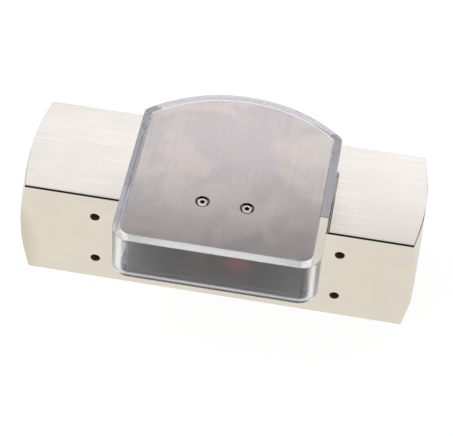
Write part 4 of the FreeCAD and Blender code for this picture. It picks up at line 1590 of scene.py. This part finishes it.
@dataclass
class Studio:
    """Floor, light and camera of the photograph.

    Attributes:
        eye: Camera's place in metres.
        turn: Camera's rotation in degrees about X, Y and Z.
        lens: Focal length in millimetres.
        sensor: Width of the camera's sensor in millimetres.
        clip: Nearest and farthest distance that the camera sees, in metres.
        floor_size: Side of the floor in metres.
        floor_drop: How far the floor lies under the meter.
        floor_grey: Colour of the floor as it lights the meter.
        floor_rough: Roughness of the floor.
        floor_gloss: Level of the floor's reflections.
        shadow_share: How much of the floor's brightness comes from the lamps, so that shadows show.
        shadow_return: Part of that share which the floor's own glow leaves to the lamps.
        room_light: Level of the light that comes from all round.
        room_gloss: Level of the room as metal shows it.
        rear_gloss: Level of its darker rear.
        rear_full: Share of a ray's way that goes to the rear, from which the room is at its darkest.
        panel_place: Place of the soft panel behind the meter.
        panel_size: Width and height of the panel.
        panel_level: Brightness of the panel.
        panel_roll: Tilt of the panel's upper edge in degrees.
        key_place: Place of the lamp above the camera's left.
        key_size: Side of that lamp.
        key_power: Its power in watts.
        bounces: How often light may bounce, which the clear wall needs to lead it along.
    """

    eye: Place = (0.0614519, -0.5182301, 0.5916189)
    turn: Place = (42.443451, -2.63679, 9.571903)
    lens: float = 143.3846
    sensor: float = 36.0
    clip: tuple[float, float] = (0.01, 20.0)
    floor_size: float = 6.0
    floor_drop: float = 0.2 * MM
    floor_grey: Colour = (0.8, 0.8, 0.8)
    floor_rough: float = 0.9
    floor_gloss: float = 0.1
    shadow_share: float = 0.12
    shadow_return: float = 0.7
    room_light: float = 0.62
    room_gloss: float = 0.75
    rear_gloss: float = 0.2
    rear_full: float = 0.25
    panel_place: Place = (0.0, 0.22, 0.27)
    panel_size: tuple[float, float] = (0.7, 0.17)
    panel_level: float = 1.06
    panel_roll: float = 8.0
    key_place: Place = (-0.5, -0.3, 0.9)
    key_size: float = 0.8
    key_power: float = 4.5
    bounces: int = 24

    def camera(self) -> None:
        """Set up the camera of the photograph."""
        data = bpy.data.cameras.new("photo_camera")
        data.sensor_width = self.sensor
        data.sensor_fit = "HORIZONTAL"
        data.lens = self.lens
        data.clip_start, data.clip_end = self.clip
        camera = bpy.data.objects.new("photo_camera", data)
        camera.location = self.eye
        camera.rotation_euler = Euler([math.radians(angle) for angle in self.turn], "XYZ")
        bpy.context.scene.collection.objects.link(camera)
        bpy.context.scene.camera = camera

    def floor(self) -> None:
        """Lay the pale floor, which is white to the camera and keeps the object's shadow.

        The camera's view counts also where it goes by reflection or through clear plastic.
        """
        Workpiece.clear_bench()
        bpy.ops.mesh.primitive_plane_add(size=self.floor_size, location=(0.0, 0.0, -self.floor_drop))
        floor = bpy.context.object
        floor.name = "floor"
        tree = SurfaceTree("floor_white")
        seen = tree.math("MINIMUM", tree.fold("ADD", [tree.ray(kind) for kind in Ray]), 1.0)
        grey = tree.mix(seen, self.floor_grey, (self.shadow_share,) * 3)
        glow = tree.math("MULTIPLY", seen, 1.0 - self.shadow_return * self.shadow_share)
        tree.feed(tree.surface, Roughness=self.floor_rough, Specular_IOR_Level=self.floor_gloss)
        tree.feed(tree.surface, Base_Color=grey, Emission_Color=WHITE, Emission_Strength=glow)
        floor.data.materials.append(tree.material)

    def world(self) -> None:
        """Light the scene evenly from all round, with a darker rear of the room for metal to show."""
        world = bpy.data.worlds.new("studio")
        bpy.context.scene.world = world
        world.use_nodes = True
        tree = NodeTree(world.node_tree, "Generated")
        gloss = tree.spread(tree.axis("Y"), self.room_gloss, self.rear_gloss, 0.0, self.rear_full)
        level = tree.spread(tree.ray(Ray.GLOSSY), self.room_light, gloss, 0.0, 1.0)
        for kind in (Ray.CAMERA, Ray.TRANSMISSION):
            level = tree.spread(tree.ray(kind), level, 1.0, 0.0, 1.0)
        tree.feed(world.node_tree.nodes["Background"], Color=WHITE, Strength=level)

    def lamp(self, name: str, size: tuple[float, float], power: float) -> bpy.types.Object:
        """Add a soft lamp that the camera doesn't see, through clear plastic either.

        Args:
            name: Name of the lamp.
            size: Its width and height in metres.
            power: Its power in watts.

        Returns:
            The lamp, at the origin.
        """
        data = bpy.data.lights.new(name, "AREA")
        data.shape = "RECTANGLE"
        data.size, data.size_y = size
        data.energy = power
        lamp = bpy.data.objects.new(name, data)
        lamp.visible_camera = False
        lamp.visible_transmission = False
        bpy.context.scene.collection.objects.link(lamp)
        return lamp

    def lights(self) -> None:
        """Put up the lamp above, which metal doesn't mirror, and the panel behind the meter."""
        key = self.lamp("key_lamp", (self.key_size, self.key_size), self.key_power)
        key.visible_glossy = False
        key.location = self.key_place
        key.rotation_euler = (-Vector(self.key_place)).to_track_quat("-Z", "Y").to_euler()
        width, height = self.panel_size
        panel = self.lamp("rear_panel", self.panel_size, math.pi * width * height * self.panel_level)
        panel.location = self.panel_place
        panel.rotation_euler = Euler((-math.pi / 2, math.radians(self.panel_roll), 0.0))

    def build(self) -> None:
        """Set up camera, floor and light."""
        self.camera()
        self.floor()
        self.world()
        self.lights()
        scene = bpy.context.scene
        scene.view_settings.view_transform = "Standard"
        scene.cycles.max_bounces = self.bounces
        scene.cycles.glossy_bounces = self.bounces
        scene.cycles.transmission_bounces = self.bounces


def main() -> None:
    """Load the frame, dress it, add the fine pieces and set up the studio."""
    logging.basicConfig(level=logging.INFO, format="%(name)s: %(message)s")
    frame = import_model()
    for assembly in (MeterBody, Indicator, ClearWall, ScalePrint, PointerUnit, MeteringInsert):
        assembly(frame).build()
    Studio().build()


if __name__ == "__main__":
    main()
